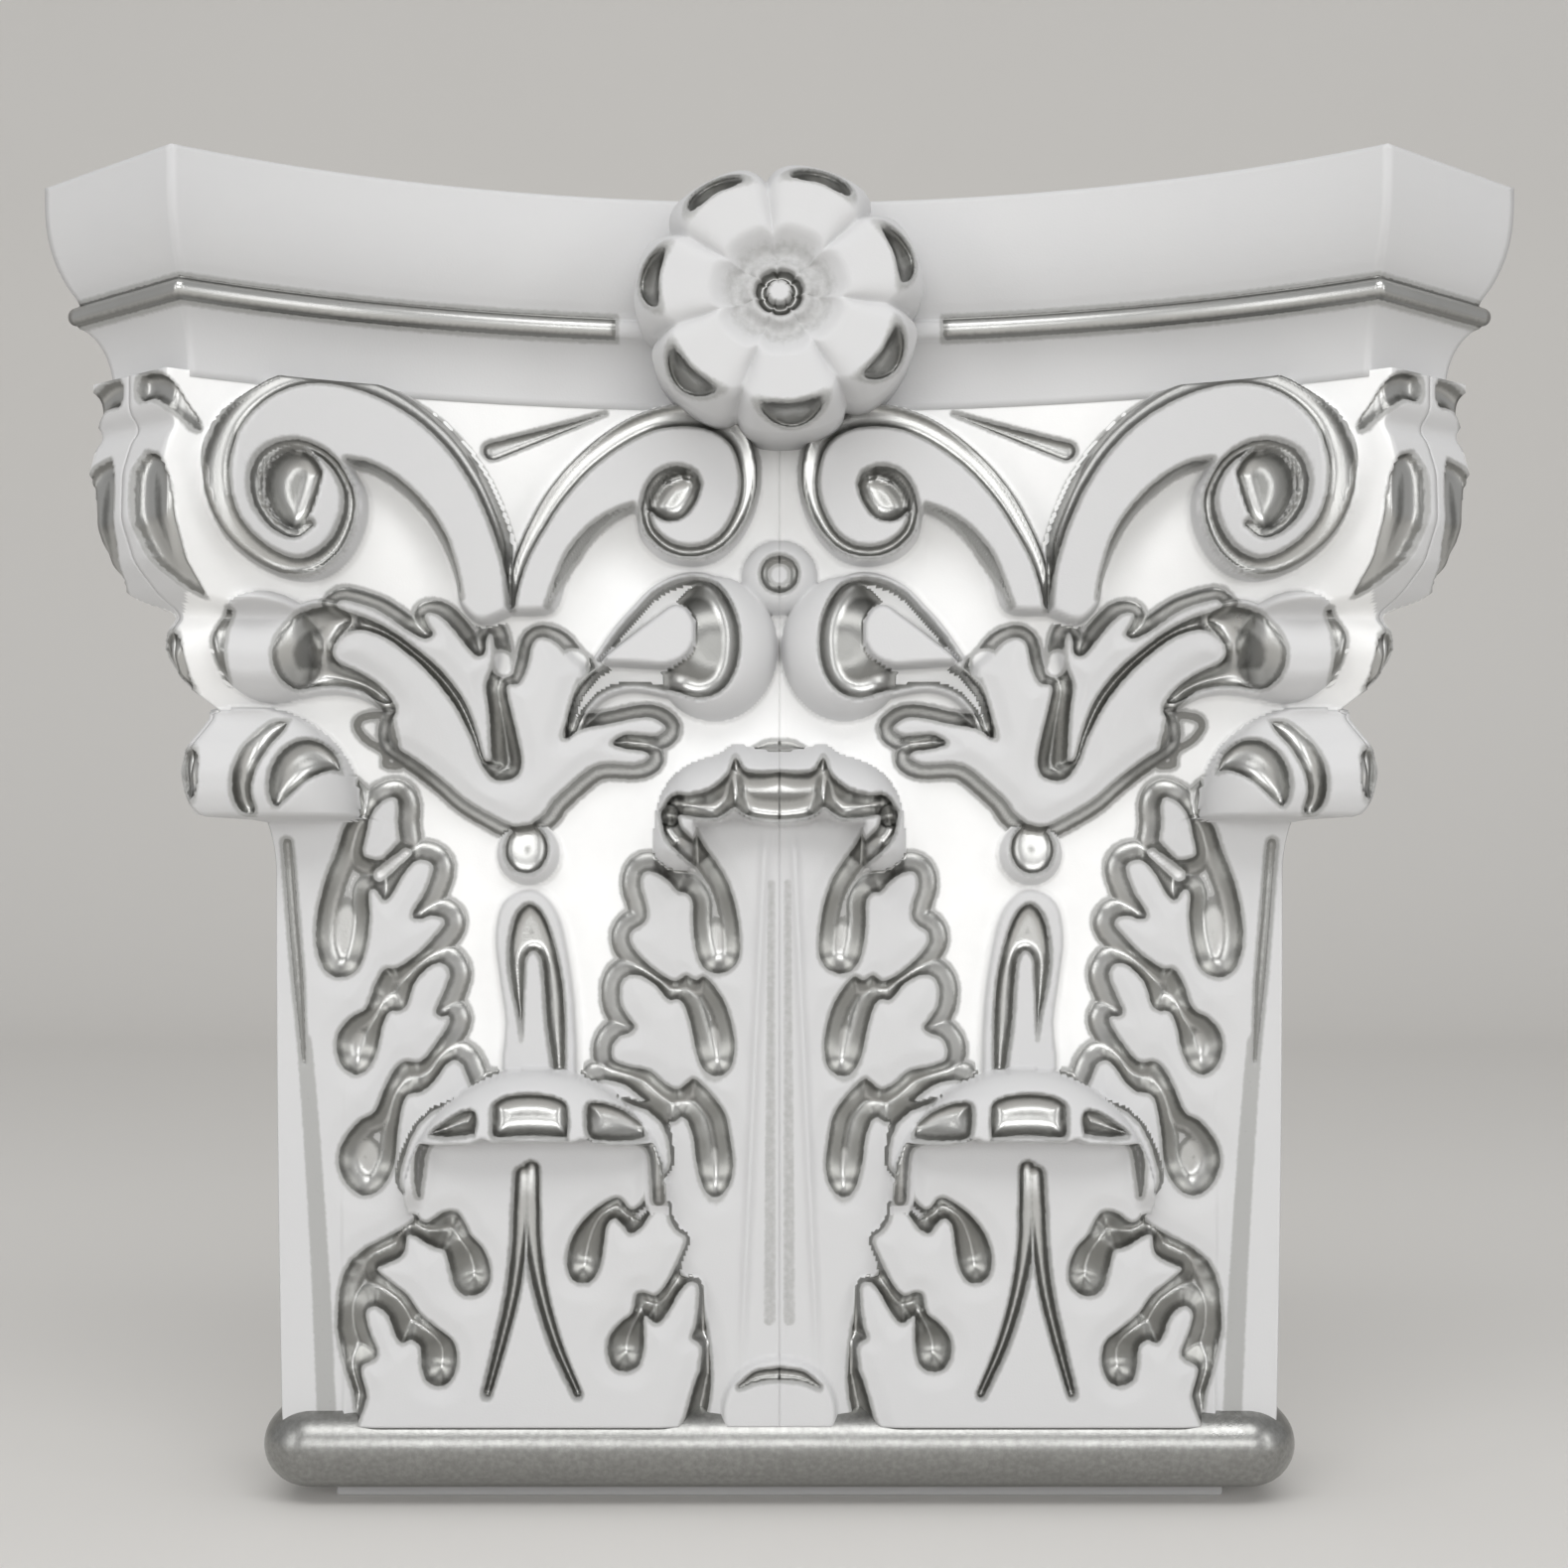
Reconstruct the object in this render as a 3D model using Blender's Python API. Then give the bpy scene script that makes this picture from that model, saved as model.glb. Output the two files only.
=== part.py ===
"""A carved pilaster capital, cast in one piece.

The face looks along -Y. The underside is z = 0 and the centre line is x = 0. It is modelled
with the wall at y = 0 and then moved, so that the origin is the middle of its footprint. The
carving is drawn on one half of the front, in millimetres: "out" is
the distance from the centre line and "up" the height above the underside. The other half is
its mirror, and each side return mirrors the front about the corner's diagonal plane.
"""

import bmesh
import bpy
import numpy as np
from mathutils import Matrix

MM = 0.001

# Driving sizes in millimetres
SHAFT_WIDTH = 194.0        # width of the bell just above its torus
SHAFT_DEPTH = 47.0         # from the wall to the front of the bell
HEIGHT = 263.0             # from the underside to the top of the slab
NECK_HEIGHT = 3.4          # the plain fillet under the torus
NECK_INSET = 6.0           # how far the fillet lies inside the bell
TORUS_RADIUS = 8.5         # section radius of the half-round ring
TORUS_OUT = 0.5            # how far the ring's centre lies inside the bell's face
ABACUS_HEIGHT = 40.5       # depth of the moulded top slab
HORN_OUT = 112.4           # distance of the top slab's front corner from the centre line
HORN_DEPTH = 95.0          # distance of that corner from the wall
WAIST_DEPTH = 51.0         # distance of the slab's hollow front from the wall at its middle
SLAB_STEP = 9.8            # how far the slab's foot lies inside its top edge
ROSETTE_RADIUS = 28.6      # the flower on the slab
ROSETTE_DEPTH = 22.0       # how far the flower stands in front of the slab
ROSETTE_DROP = 21.8        # the flower's middle below the top of the slab
PETALS = 7                 # petals of the flower
CORNER_FLARE = 76.0        # corner volute's distance from the wall on the diagonal
LEAF_RELIEF = 3.6          # carved height of the upper leaves
LOWER_LEAF_RELIEF = 6.6    # carved height of the two leaves in front
HOOD_RELIEF = 12.0         # how far the upper leaf's curled tip stands out
LOWER_HOOD_RELIEF = 9.0    # the same for the two leaves in front
VOLUTE_RELIEF = 8.5        # height of the scrolls over the bell
RETURN_RELIEF = 2.6        # greatest height of the leaves low on the side returns

# Heights and offsets that follow from them
BELL_FOOT = NECK_HEIGHT + 2.0 * TORUS_RADIUS
BELL_TOP = HEIGHT - ABACUS_HEIGHT
CORNER_INSET = SHAFT_WIDTH / 2.0 - SHAFT_DEPTH
ROSETTE_UP = HEIGHT - ROSETTE_DROP

# The carving's drawing has units of its own: the shaft is 194 of them wide, the bell's foot
# lies at 20.4 and its top at 222.5
UNIT = SHAFT_WIDTH / 194.0
DRAWN_BELL = (20.4, 222.5)
LEAF, LOWER_LEAF = LEAF_RELIEF / UNIT, LOWER_LEAF_RELIEF / UNIT
HOOD, LOWER_HOOD = HOOD_RELIEF / UNIT, LOWER_HOOD_RELIEF / UNIT
VOLUTE, RETURN = VOLUTE_RELIEF / UNIT, RETURN_RELIEF / UNIT
FLARE = CORNER_FLARE / UNIT

# Fineness of the skin: rows and columns of the carved front, the grid that the pieces are
# fused on, the triangles left at the end, and how far pieces run past the planes they are cut on
ROWS = 206
COLUMNS = 117
SKIN_GRID = 1.1 * UNIT
TRIANGLES = 8000
SPARE = 3.0 * UNIT


def ease(value):
    """A smooth step from 0 to 1 while the value goes from 0 to 1."""
    value = np.clip(value, 0.0, 1.0)
    return value * value * (3.0 - 2.0 * value)


def ramp(value, start, end):
    """A smooth step from 0 at start to 1 at end."""
    return ease((value - start) / (end - start))


def bar(spot, start, end, start_radius, end_radius):
    """Distance to a bar with round ends and a taper, negative inside."""
    out, up = spot
    run_out, run_up = end[0] - start[0], end[1] - start[1]
    length2 = run_out * run_out + run_up * run_up + 1e-9
    along = ((out - start[0]) * run_out + (up - start[1]) * run_up) / length2
    along = np.clip(along, 0.0, 1.0)
    gap = np.hypot(out - start[0] - along * run_out, up - start[1] - along * run_up)
    return gap - (start_radius + (end_radius - start_radius) * along)


def stroke(spot, points, radii):
    """Distance to a chain of bars whose radius passes evenly through the given radii."""
    count = len(points)
    radii = np.interp(np.linspace(0, 1, count), np.linspace(0, 1, len(radii)), radii)
    bars = [bar(spot, points[i], points[i + 1], radii[i], radii[i + 1])
            for i in range(count - 1)]
    return np.minimum.reduce(bars)


def fan(spot, root, root_radius, tips, tip_radius):
    """Distance to a lobe: bars from one root to each of its leaflets' tips."""
    return np.minimum.reduce([bar(spot, root, tip, root_radius, tip_radius) for tip in tips])


def oval(spot, centre, half_out, half_up):
    """Rough distance to an upright oval, negative inside."""
    reach = np.hypot((spot[0] - centre[0]) / half_out, (spot[1] - centre[1]) / half_up)
    return (reach - 1.0) * np.minimum(half_out, half_up)


def curve(points, steps=5):
    """Points along a smooth curve through the given ones."""
    points = np.array(points, dtype=float)
    padded = np.vstack([2 * points[0] - points[1], points, 2 * points[-1] - points[-2]])
    share = np.linspace(0, 1, steps, endpoint=False)[:, None]
    runs = []
    for a, b, c, d in zip(padded, padded[1:], padded[2:], padded[3:]):
        runs.append(0.5 * (2 * b + (c - a) * share + (2 * a - 5 * b + 4 * c - d) * share ** 2
                           + (3 * b - a - 3 * c + d) * share ** 3))
    runs.append(points[-1:])
    return np.vstack(runs)


def spiral(centre, radius, shrink, start, turns, side):
    """Points on a scroll whose radius loses the same amount in each quarter turn."""
    angle = np.linspace(0.0, turns * 4.0, int(turns * 16) + 1)
    reach = radius - shrink * angle
    turn = start + side * angle * np.pi / 2.0
    return np.column_stack([centre[0] + reach * np.cos(turn), centre[1] + reach * np.sin(turn)])


def raised(distance, height, slope=2.6):
    """A flat-topped relief whose edge slopes evenly across its outline."""
    return height * ramp(-distance, -slope / 2.0, slope / 2.0)


def cupped(distance, radius, depth):
    """A round-bottomed hollow, deepest where the distance is -radius."""
    share = np.clip(1.0 + distance / radius, 0.0, 1.0)
    return depth * np.sqrt(1.0 - share * share) * (distance < 0)


def domed(distance, radius, height):
    """A round-topped swelling, highest where the distance is -radius."""
    share = np.clip(1.0 + distance / radius, 0.0, 1.0)
    return height * np.sqrt(1.0 - share * share)


def middle_leaf(spot):
    """The tall leaf on the centre line: blade, two lobes a side, ribs and a curled tip."""
    out, up = spot
    blade = np.minimum(bar(spot, (0, 138), (0, 60), 19.0, 12.0),
                       bar(spot, (0, 60), (0, 16), 12.0, 10.5))
    lobes = np.minimum.reduce([
        fan(spot, (15, 108), 7.0, ((27.0, 127.0), (28.3, 119.5), (29.0, 114.5)), 3.4),
        fan(spot, (15, 84), 7.0, ((30.5, 105.0), (31.8, 97.0), (31.8, 90.0)), 3.6),
        fan(spot, (14, 60), 7.0, ((27.0, 78.0), (30.0, 66.0)), 4.0)])
    cuts = np.minimum.reduce([
        stroke(spot, curve(((25, 129), (17.5, 126), (13.6, 119), (12.6, 112))), (1.2, 2.0, 3.2)),
        stroke(spot, curve(((34, 114.5), (20.5, 105), (15, 97), (12.8, 88.5))), (0.9, 1.3, 2.8)),
        stroke(spot, curve(((34, 87), (21, 80.5), (15.5, 73), (12.6, 63.5))), (0.9, 1.3, 2.9))])
    leaf = np.maximum(np.minimum(blade, lobes), -cuts)
    height = raised(leaf, LEAF)
    height += 0.9 * np.exp(-((out - 3.3) / 0.9) ** 2) * ramp(-up, -140, -128) * ramp(up, 18, 40)
    hood = oval(spot, (0, 134), 25.4, 19.5 + 1.6 * np.cos(out / 8.8 * np.pi))
    lip = 140.0 - 3.4 * np.abs(np.cos((out - 8.0) / 16.0 * np.pi)) - 0.012 * out ** 2
    top = domed(hood, 12.0, HOOD)
    scoop = np.minimum.reduce([oval(spot, (0, 142.5), 7.4, 6.0),
                               bar(spot, (13.0, 139.5), (21.5, 136.5), 3.0, 1.8)])
    top = top - cupped(scoop, 3.6, 5.0)
    flank = LEAF * (hood < 0) * ramp(up, 130.0, 132.0)
    return np.maximum(height, flank + top * ramp(up, lip - 0.7, lip + 0.7))


def lower_leaf(spot):
    """One of the two leaves in front, on its own axis: blade, lobes, cleft and curled tip."""
    out, up = np.abs(spot[0] - 48.9), spot[1]
    spot = (out, up)
    blade = np.minimum(oval(spot, (0, 62), 26.5, 26.0), bar(spot, (0, 60), (0, 16), 18.0, 17.0))
    lobes = np.minimum(
        fan(spot, (16, 44), 8.0, ((26.5, 61.0), (32.2, 52.5)), 3.2),
        fan(spot, (20, 20), 8.0, ((33.5, 45.0), (35.4, 35.5), (33.5, 25.5)), 3.4))
    cuts = np.minimum(
        stroke(spot, curve(((31, 65.5), (22.5, 57.5), (15.0, 55), (12.4, 47.5))),
               (1.5, 1.2, 1.2, 2.4)),
        stroke(spot, curve(((37, 49.5), (30, 45.5), (23.0, 40), (18.2, 29.5))),
               (1.0, 1.0, 1.2, 2.4)))
    leaf = np.maximum(np.minimum(blade, lobes), -cuts)
    height = raised(leaf, LOWER_LEAF)
    height -= cupped(stroke(spot, curve(((0.6, 72), (1.4, 56), (4.4, 40), (9.4, 23))),
                            (1.6, 1.9, 1.7, 0.8)), 1.8, 2.4) * (up < 73)
    hood = oval(spot, (0, 63), 26.3, 26.0)
    top = domed(hood, 13.0, LOWER_HOOD)
    cells = np.minimum(bar(spot, (0, 79.5), (6.5, 79.3), 4.4, 4.0),
                       bar(spot, (13.0, 79.0), (19.5, 75.5), 3.4, 1.2))
    top = top - cupped(cells, 3.4, 4.5)
    lip = 74.2 + 1.3 * np.cos(out / 10.0 * np.pi) * (out < 10)
    edge = ramp(up, lip - 0.6, lip + 0.6)
    rim = ramp(out, 20.5, 24.5) * 3.0 * ramp(up, 60.0, 72.0)
    flank = (LOWER_LEAF + np.maximum(top * edge, rim)) * (hood < 0)
    return np.maximum(height, flank * ramp(up, 61.0, 63.0))


def corner_leaf(spot, corner):
    """The leaf that wraps the corner, its lobes on the front and its ribbed curled tip."""
    out, up = spot
    blade = np.minimum(bar(spot, (100, 140), (104, 100), 14.0, 13.5),
                       bar(spot, (104, 100), (106, 16), 16.0, 24.0))
    lobes = np.minimum.reduce([
        bar(spot, (86.5, 130), (77.2, 143.6), 2.6, 3.2),
        fan(spot, (83, 106), 6.5, ((70.5, 131.0), (68.2, 123.5), (66.8, 114.5)), 3.2),
        fan(spot, (82, 84), 7.0, ((66.0, 109.0), (65.8, 102.5), (65.5, 95.5)), 3.2),
        fan(spot, (84, 56), 9.0, ((65.0, 88.5), (70.0, 70.0)), 3.6)])
    cuts = np.minimum.reduce([
        stroke(spot, curve(((79, 150), (84.6, 139), (88.2, 126), (88.6, 112.5))),
               (1.2, 1.0, 2.2, 3.6)),
        stroke(spot, curve(((64, 117), (76, 108.5), (83, 101.5), (87.0, 93.5))),
               (0.9, 1.2, 2.2, 3.0)),
        stroke(spot, curve(((60, 93.5), (72, 87), (81.5, 80), (85.5, 69.5))),
               (0.9, 1.2, 2.2, 3.2))])
    leaf = np.maximum(np.minimum(blade, lobes), -cuts)
    height = raised(leaf, LEAF)
    rib = np.abs(corner - out - 3.6)
    height -= 0.9 * ramp(-rib, -1.7, -0.8) * ramp(-up, -138, -128)
    hood = np.hypot(out - 104.5, up - 141.5) - 19.4
    top = domed(hood, 17.0, 14.5)
    ribs = np.minimum(stroke(spot, curve(((104, 157), (110, 149), (109.5, 141))), (1.6, 2.8)),
                      stroke(spot, curve(((90, 149), (98, 151), (102, 143))), (2.4, 3.2)))
    top = top - cupped(ribs, 2.8, 3.6)
    return np.maximum(height, (LEAF + top) * (hood < 0) * ramp(up, 137.4, 139.4))


def stalk(spot):
    """The stem that rises behind a lower leaf, with its hollow, and the pearl on it."""
    stem = stroke(spot, ((50.8, 122), (48.6, 104), (48.9, 70)), (6.6, 7.4, 8.4))
    hollow = stroke(spot, ((50.4, 118.5), (48.9, 104)), (3.6, 4.4))
    prongs = np.minimum(bar(spot, (52.0, 104), (51.0, 90), 2.2, 0.9),
                        bar(spot, (46.4, 104), (46.6, 90), 2.2, 0.9))
    height = raised(stem, LEAF) - cupped(np.minimum(hollow, prongs), 3.2, 2.8)
    pearl = oval(spot, (51.0, 131.8), 8.2, 8.2)
    dimple = oval(spot, (51.2, 132.6), 5.0, 5.0)
    return np.maximum(height, domed(pearl, 8.0, 6.5) - cupped(dimple, 5.0, 4.0))


def calyx(spot):
    """The sheath of three leaves that the scrolls grow from, with its two curled tips."""
    outer = np.minimum.reduce([
        stroke(spot, curve(((53.5, 147), (62, 158), (73, 168), (88, 171))), (6.0, 11.0, 10.0, 7.5)),
        bar(spot, (62, 160), (58.0, 176), 6.0, 3.0),
        bar(spot, (74, 166), (71.0, 180), 6.0, 4.0),
        bar(spot, (84, 170), (88.0, 178), 6.0, 5.0),
        bar(spot, (68, 156), (83.5, 158.5), 3.0, 2.4)])
    inner = np.minimum.reduce([
        stroke(spot, curve(((49.5, 146), (40, 160), (30, 171), (17, 173))), (5.0, 8.0, 8.0, 9.0)),
        bar(spot, (42, 152), (22.5, 157.0), 6.0, 3.6),
        bar(spot, (40, 149), (25.0, 152.8), 3.6, 2.6)])
    centre = np.minimum(stroke(spot, ((52, 144), (50.5, 162), (46.8, 175)), (5.0, 8.5, 4.0)),
                        bar(spot, (49, 160), (53.2, 170), 4.0, 2.6))
    slots = np.minimum(stroke(spot, ((54.2, 173), (54.4, 164), (56.6, 150)), (1.2, 1.6, 1.6)),
                       stroke(spot, curve(((45.0, 163), (39.0, 160), (30.0, 162.5))), (1.2, 1.0)))
    leaf = np.maximum(np.minimum.reduce([outer, inner, centre]), -slots)
    height = raised(leaf, LEAF + 0.8)
    vein = stroke(spot, curve(((57.2, 150), (61.6, 159.1), (70.5, 169.5), (84.6, 176.3))),
                  (1.2, 1.4, 1.8, 2.2))
    height -= cupped(vein, 1.8, 1.6)
    curls = np.maximum(domed(oval(spot, (95.5, 171.5), 9.0, 11.0), 9.0, 13.0),
                       domed(oval(spot, (13.5, 172.0), 12.8, 13.6), 12.8, 13.0))
    height = np.maximum(height, curls)
    mouths = np.minimum(
        stroke(spot, curve(((84, 178.5), (90.5, 177), (93.0, 171), (88, 165.5))), (1.4, 3.0, 1.6)),
        stroke(spot, curve(((24, 184.5), (15.5, 182), (12.0, 174), (16, 166.5), (30, 165.5))),
               (1.2, 3.4, 4.4, 3.2, 1.2)))
    return height - cupped(mouths, 4.0, 7.0)


def volute(spot, centre, size, line, strap, side):
    """One scroll: a strap that leaves the sheath and winds into an eye."""
    scroll = spiral(centre, size, size * 0.092, np.pi / 2 - side * np.pi / 2, 1.5, -side)
    edge = curve(line)
    disc = oval(spot, centre, size * 1.06, size * 1.06)
    band = stroke(spot, curve([point[:2] for point in strap]), [point[2] for point in strap])
    body = np.minimum(np.minimum(disc, band), stroke(spot, edge, (1.2, 1.2)))
    height = raised(body, VOLUTE, 1.8)
    height -= cupped(stroke(spot, np.vstack([edge, scroll]), (1.4, 1.6)), 1.5, 1.6)
    eye = oval(spot, (centre[0] - side * 0.4, centre[1]), size * 0.46, size * 0.5)
    return height - cupped(eye, size * 0.44, 5.0)


def scrolls(spot):
    """The outer and the inner scroll, the small boss between a pair and the slanting cuts."""
    outer = volute(spot, (90.4, 199.6), 14.2,
                   ((54.2, 192), (60.9, 207.5), (71.9, 217.6), (85.0, 221.0), (98.5, 216.5),
                    (103.9, 207.5)),
                   ((55.5, 181, 1.5), (61.5, 196, 6.4), (68.5, 206, 8.0), (77.0, 211.8, 7.8),
                    (88.0, 212.6, 7.4), (96.5, 208.0, 6.0), (100.0, 200.0, 4.2)), 1)
    inner = volute(spot, (17.4, 203.2), 12.4,
                   ((54.0, 192), (44.5, 202.5), (33.0, 214.6), (20.5, 219.4), (9.0, 215.8),
                    (5.4, 208.0)),
                   ((52.5, 181, 1.5), (46.5, 194, 5.2), (39.0, 202.0, 6.0), (31.0, 207.4, 6.4),
                    (22.5, 210.6, 7.6), (13.5, 210.0, 6.8)), -1)
    boss = domed(oval(spot, (0.0, 187.5), 7.6, 7.6), 7.6, 7.0)
    boss = boss - cupped(oval(spot, (0.0, 187.9), 3.3, 3.3), 3.3, 2.2)
    cut = cupped(bar(spot, (57.5, 212.5), (36.0, 220.0), 1.4, 1.0), 1.4, 1.6)
    return np.maximum(np.maximum(outer, inner), boss) - cut


def corner_end(spot):
    """The leaf-like end of the corner scrolls: a small curl over a long drop."""
    drop = stroke(spot, curve(((113.0, 205), (113.6, 196), (110.5, 182))), (3.2, 3.0, 0.8))
    curl = stroke(spot, curve(((121.5, 216), (115.5, 220.5), (110.5, 213.0))), (2.2, 2.4, 0.9))
    return cupped(np.minimum(drop, curl), 3.0, 4.2)


def plan_front(out, offset):
    """Depth of the slab's hollow front, moved back by an offset: an arc about a far centre."""
    rise = HORN_DEPTH - WAIST_DEPTH
    radius = (HORN_OUT ** 2 + rise ** 2) / (2.0 * rise)
    reach = np.sqrt(np.maximum((radius + offset) ** 2 - out ** 2, 1.0))
    return WAIST_DEPTH + radius - reach


def bell_front(out, share):
    """Depth of the bare bell: a flat face that spreads to the slab's plan under its horns."""
    hollow = plan_front(out, SLAB_STEP)
    return SHAFT_DEPTH + (hollow - SHAFT_DEPTH) * ramp(share, 0.53, 0.89)


def corner_limit(up):
    """Depth of the corner on the diagonal plane, in the drawing's units, its turns rounded."""
    heights = (0, 21, 103, 122, 134, 137.5, 140, 143.5, 148, 153, 156.5, 159.5, 162.5, 166.5,
               171, 175, 178.5, 182, 188, 196, 205, 211, 213.5, 217, 224, 240)
    depths = (49, 50.5, 53.5, 55.5, 58, 61, 64.6, 66.6, 67, 65.4, 63, 61.2, 64.6, 68.6, 69.6,
              68.6, 66.6, 70.4, 74.2, 76.2, FLARE, 74.6, 73.2, 75, 75, 75)
    around = (-1.2, -0.8, -0.4, 0.0, 0.4, 0.8, 1.2)
    return np.mean([np.interp(up + shift, heights, depths) for shift in around], axis=0)


def carved_front(out, up, on_return=False):
    """Depth of the finished carving in front of the wall, as a function of out and up."""
    share = (up - BELL_FOOT) / (BELL_TOP - BELL_FOOT)
    drawn_up = DRAWN_BELL[0] + share * (DRAWN_BELL[1] - DRAWN_BELL[0])
    spot = (out / UNIT, drawn_up)
    limit = corner_limit(drawn_up)
    relief = np.maximum.reduce([
        middle_leaf(spot), lower_leaf(spot), corner_leaf(spot, limit + CORNER_INSET / UNIT),
        stalk(spot), calyx(spot), scrolls(spot)])
    moon = domed(bar(spot, (0, 20), (0, 21), 9.6, 9.0), 8.0, 3.0)
    relief = np.maximum(relief, moon)
    if on_return:
        relief = np.minimum(relief, RETURN + 20.0 * ramp(share, 0.45, 0.6))
    depth = bell_front(out, share) + relief * UNIT
    rounded = limit + 1.0 + 20.0 * ramp(drawn_up, 178.0, 188.0) + 30.0 * (spot[0] < 88.0)
    depth = np.minimum(depth, rounded * UNIT)
    chamfer = (2.0 * limit - corner_end(spot)) * UNIT + CORNER_INSET - out
    return np.minimum(depth, chamfer)


def corner_out(up):
    """Distance from the centre line to the corner's edge at each height, by halving."""
    low = np.full_like(up, CORNER_INSET)
    high = np.full_like(up, 1.5 * HORN_OUT)
    for _ in range(30):
        middle = 0.5 * (low + high)
        inside = carved_front(middle, up) > middle - CORNER_INSET
        low = np.where(inside, middle, low)
        high = np.where(inside, high, middle)
    return 0.5 * (low + high)


def surface_material(name, colour, roughness, metallic):
    """A plain surface of one colour."""
    material = bpy.data.materials.new(name)
    material.use_nodes = True
    shader = material.node_tree.nodes["Principled BSDF"]
    shader.inputs["Base Color"].default_value = (*colour, 1.0)
    shader.inputs["Roughness"].default_value = roughness
    shader.inputs["Metallic"].default_value = metallic
    return material


def mesh_object(name, points, faces):
    """A new object from points in millimetres and a list of faces."""
    mesh = bpy.data.meshes.new(name)
    mesh.from_pydata((np.asarray(points) * MM).tolist(), [], faces)
    mesh.update()
    made = bpy.data.objects.new(name, mesh)
    bpy.context.collection.objects.link(made)
    return made


def face_outwards(made):
    """Turn every face of a closed mesh outwards."""
    sheet = bmesh.new()
    sheet.from_mesh(made.data)
    bmesh.ops.remove_doubles(sheet, verts=sheet.verts, dist=1e-6)
    bmesh.ops.recalc_face_normals(sheet, faces=sheet.faces)
    sheet.to_mesh(made.data)
    sheet.free()


def grid_faces(rows, columns, closed):
    """Faces of a grid of points, joined round from its last column to its first if closed."""
    span = columns if closed else columns - 1
    return [(r * columns + c, r * columns + (c + 1) % columns,
             (r + 1) * columns + (c + 1) % columns, (r + 1) * columns + c)
            for r in range(rows - 1) for c in range(span)]


def carved_bell():
    """The bell with all its carving: stacked outlines that go round from wall to wall."""
    up = np.linspace(BELL_FOOT - 0.5 * TORUS_RADIUS, BELL_TOP + 0.5 * SPARE, ROWS)
    edge = corner_out(up)
    front = np.linspace(0.0, 1.0, COLUMNS)
    outlines = []
    for height, corner in zip(up, edge):
        out = front * corner
        half = np.column_stack([out, carved_front(out, np.full_like(out, height))])
        side = np.linspace(corner, CORNER_INSET - SPARE, COLUMNS // 2)[1:]
        depth = carved_front(side, np.full_like(side, height), True)
        right = np.vstack([half, np.column_stack([depth + CORNER_INSET, side - CORNER_INSET])])
        left = right[::-1][:-1] * np.array([-1.0, 1.0])
        outlines.append(np.vstack([left, right]))
    points = np.vstack([np.column_stack([line[:, 0], -line[:, 1], np.full(len(line), height)])
                        for line, height in zip(outlines, up)])
    columns = len(outlines[0])
    faces = grid_faces(ROWS, columns, True)
    faces.append(tuple(range(columns)))
    faces.append(tuple((ROWS - 1) * columns + c for c in range(columns)))
    body = mesh_object("carved bell", points, faces)
    face_outwards(body)
    return body


def slab_outline(offset):
    """Half of the slab's plan from the middle of its front to the wall, moved in by an offset."""
    line_sum = HORN_OUT + HORN_DEPTH - np.sqrt(2.0) * offset
    low, high = 0.5 * HORN_OUT, 1.5 * HORN_OUT
    for _ in range(40):
        horn = 0.5 * (low + high)
        if horn + plan_front(horn, offset) < line_sum:
            low = horn
        else:
            high = horn
    out = np.linspace(0.0, horn, 15)
    front = np.column_stack([out, plan_front(out, offset)])
    side = np.column_stack([front[:, 1] + CORNER_INSET, front[:, 0] - CORNER_INSET])[::-1]
    inner = side[side[:, 1] > SPARE]
    wall = np.array([[plan_front(CORNER_INSET - SPARE, offset) + CORNER_INSET, -SPARE]])
    return np.vstack([front, inner, wall])


def moulding_profile():
    """Offset and height of the slab's edge, from its top down: ovolo, bead and hollow."""
    drop, step = ABACUS_HEIGHT, SLAB_STEP
    profile = [(0.0, HEIGHT), (0.0, HEIGHT - 0.12 * drop)]
    for angle in np.linspace(0.0, np.pi / 2, 7)[1:]:
        profile.append((0.45 * step * (1 - np.cos(angle)),
                        HEIGHT - (0.12 + 0.41 * np.sin(angle)) * drop))
    profile.append((0.45 * step, HEIGHT - 0.57 * drop))
    for angle in np.linspace(-np.pi / 2, np.pi / 2, 5):
        profile.append(((0.43 - 0.15 * np.cos(angle)) * step,
                        HEIGHT - (0.615 + 0.045 * np.sin(angle)) * drop))
    for angle in np.linspace(0.0, np.pi / 2, 6):
        profile.append(((1.0 - 0.47 * (1 - np.sin(angle)) ** 1.3) * step,
                        HEIGHT - (0.68 + 0.32 * (1 - np.cos(angle))) * drop))
    profile.append((step, BELL_TOP))
    return profile


def slab():
    """The moulded top slab, its profile carried along its plan from wall to wall."""
    rings = []
    for offset, height in moulding_profile():
        half = slab_outline(offset)
        right = np.column_stack([half[:, 0], -half[:, 1], np.full(len(half), height)])
        left = right[::-1][:-1] * np.array([-1.0, 1.0, 1.0])
        rings.append(np.vstack([left, right]))
    columns = len(rings[0])
    faces = grid_faces(len(rings), columns, True)
    faces.append(tuple(range(columns)))
    faces.append(tuple((len(rings) - 1) * columns + c for c in range(columns)))
    made = mesh_object("slab", np.vstack(rings), faces)
    face_outwards(made)
    return made


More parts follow.
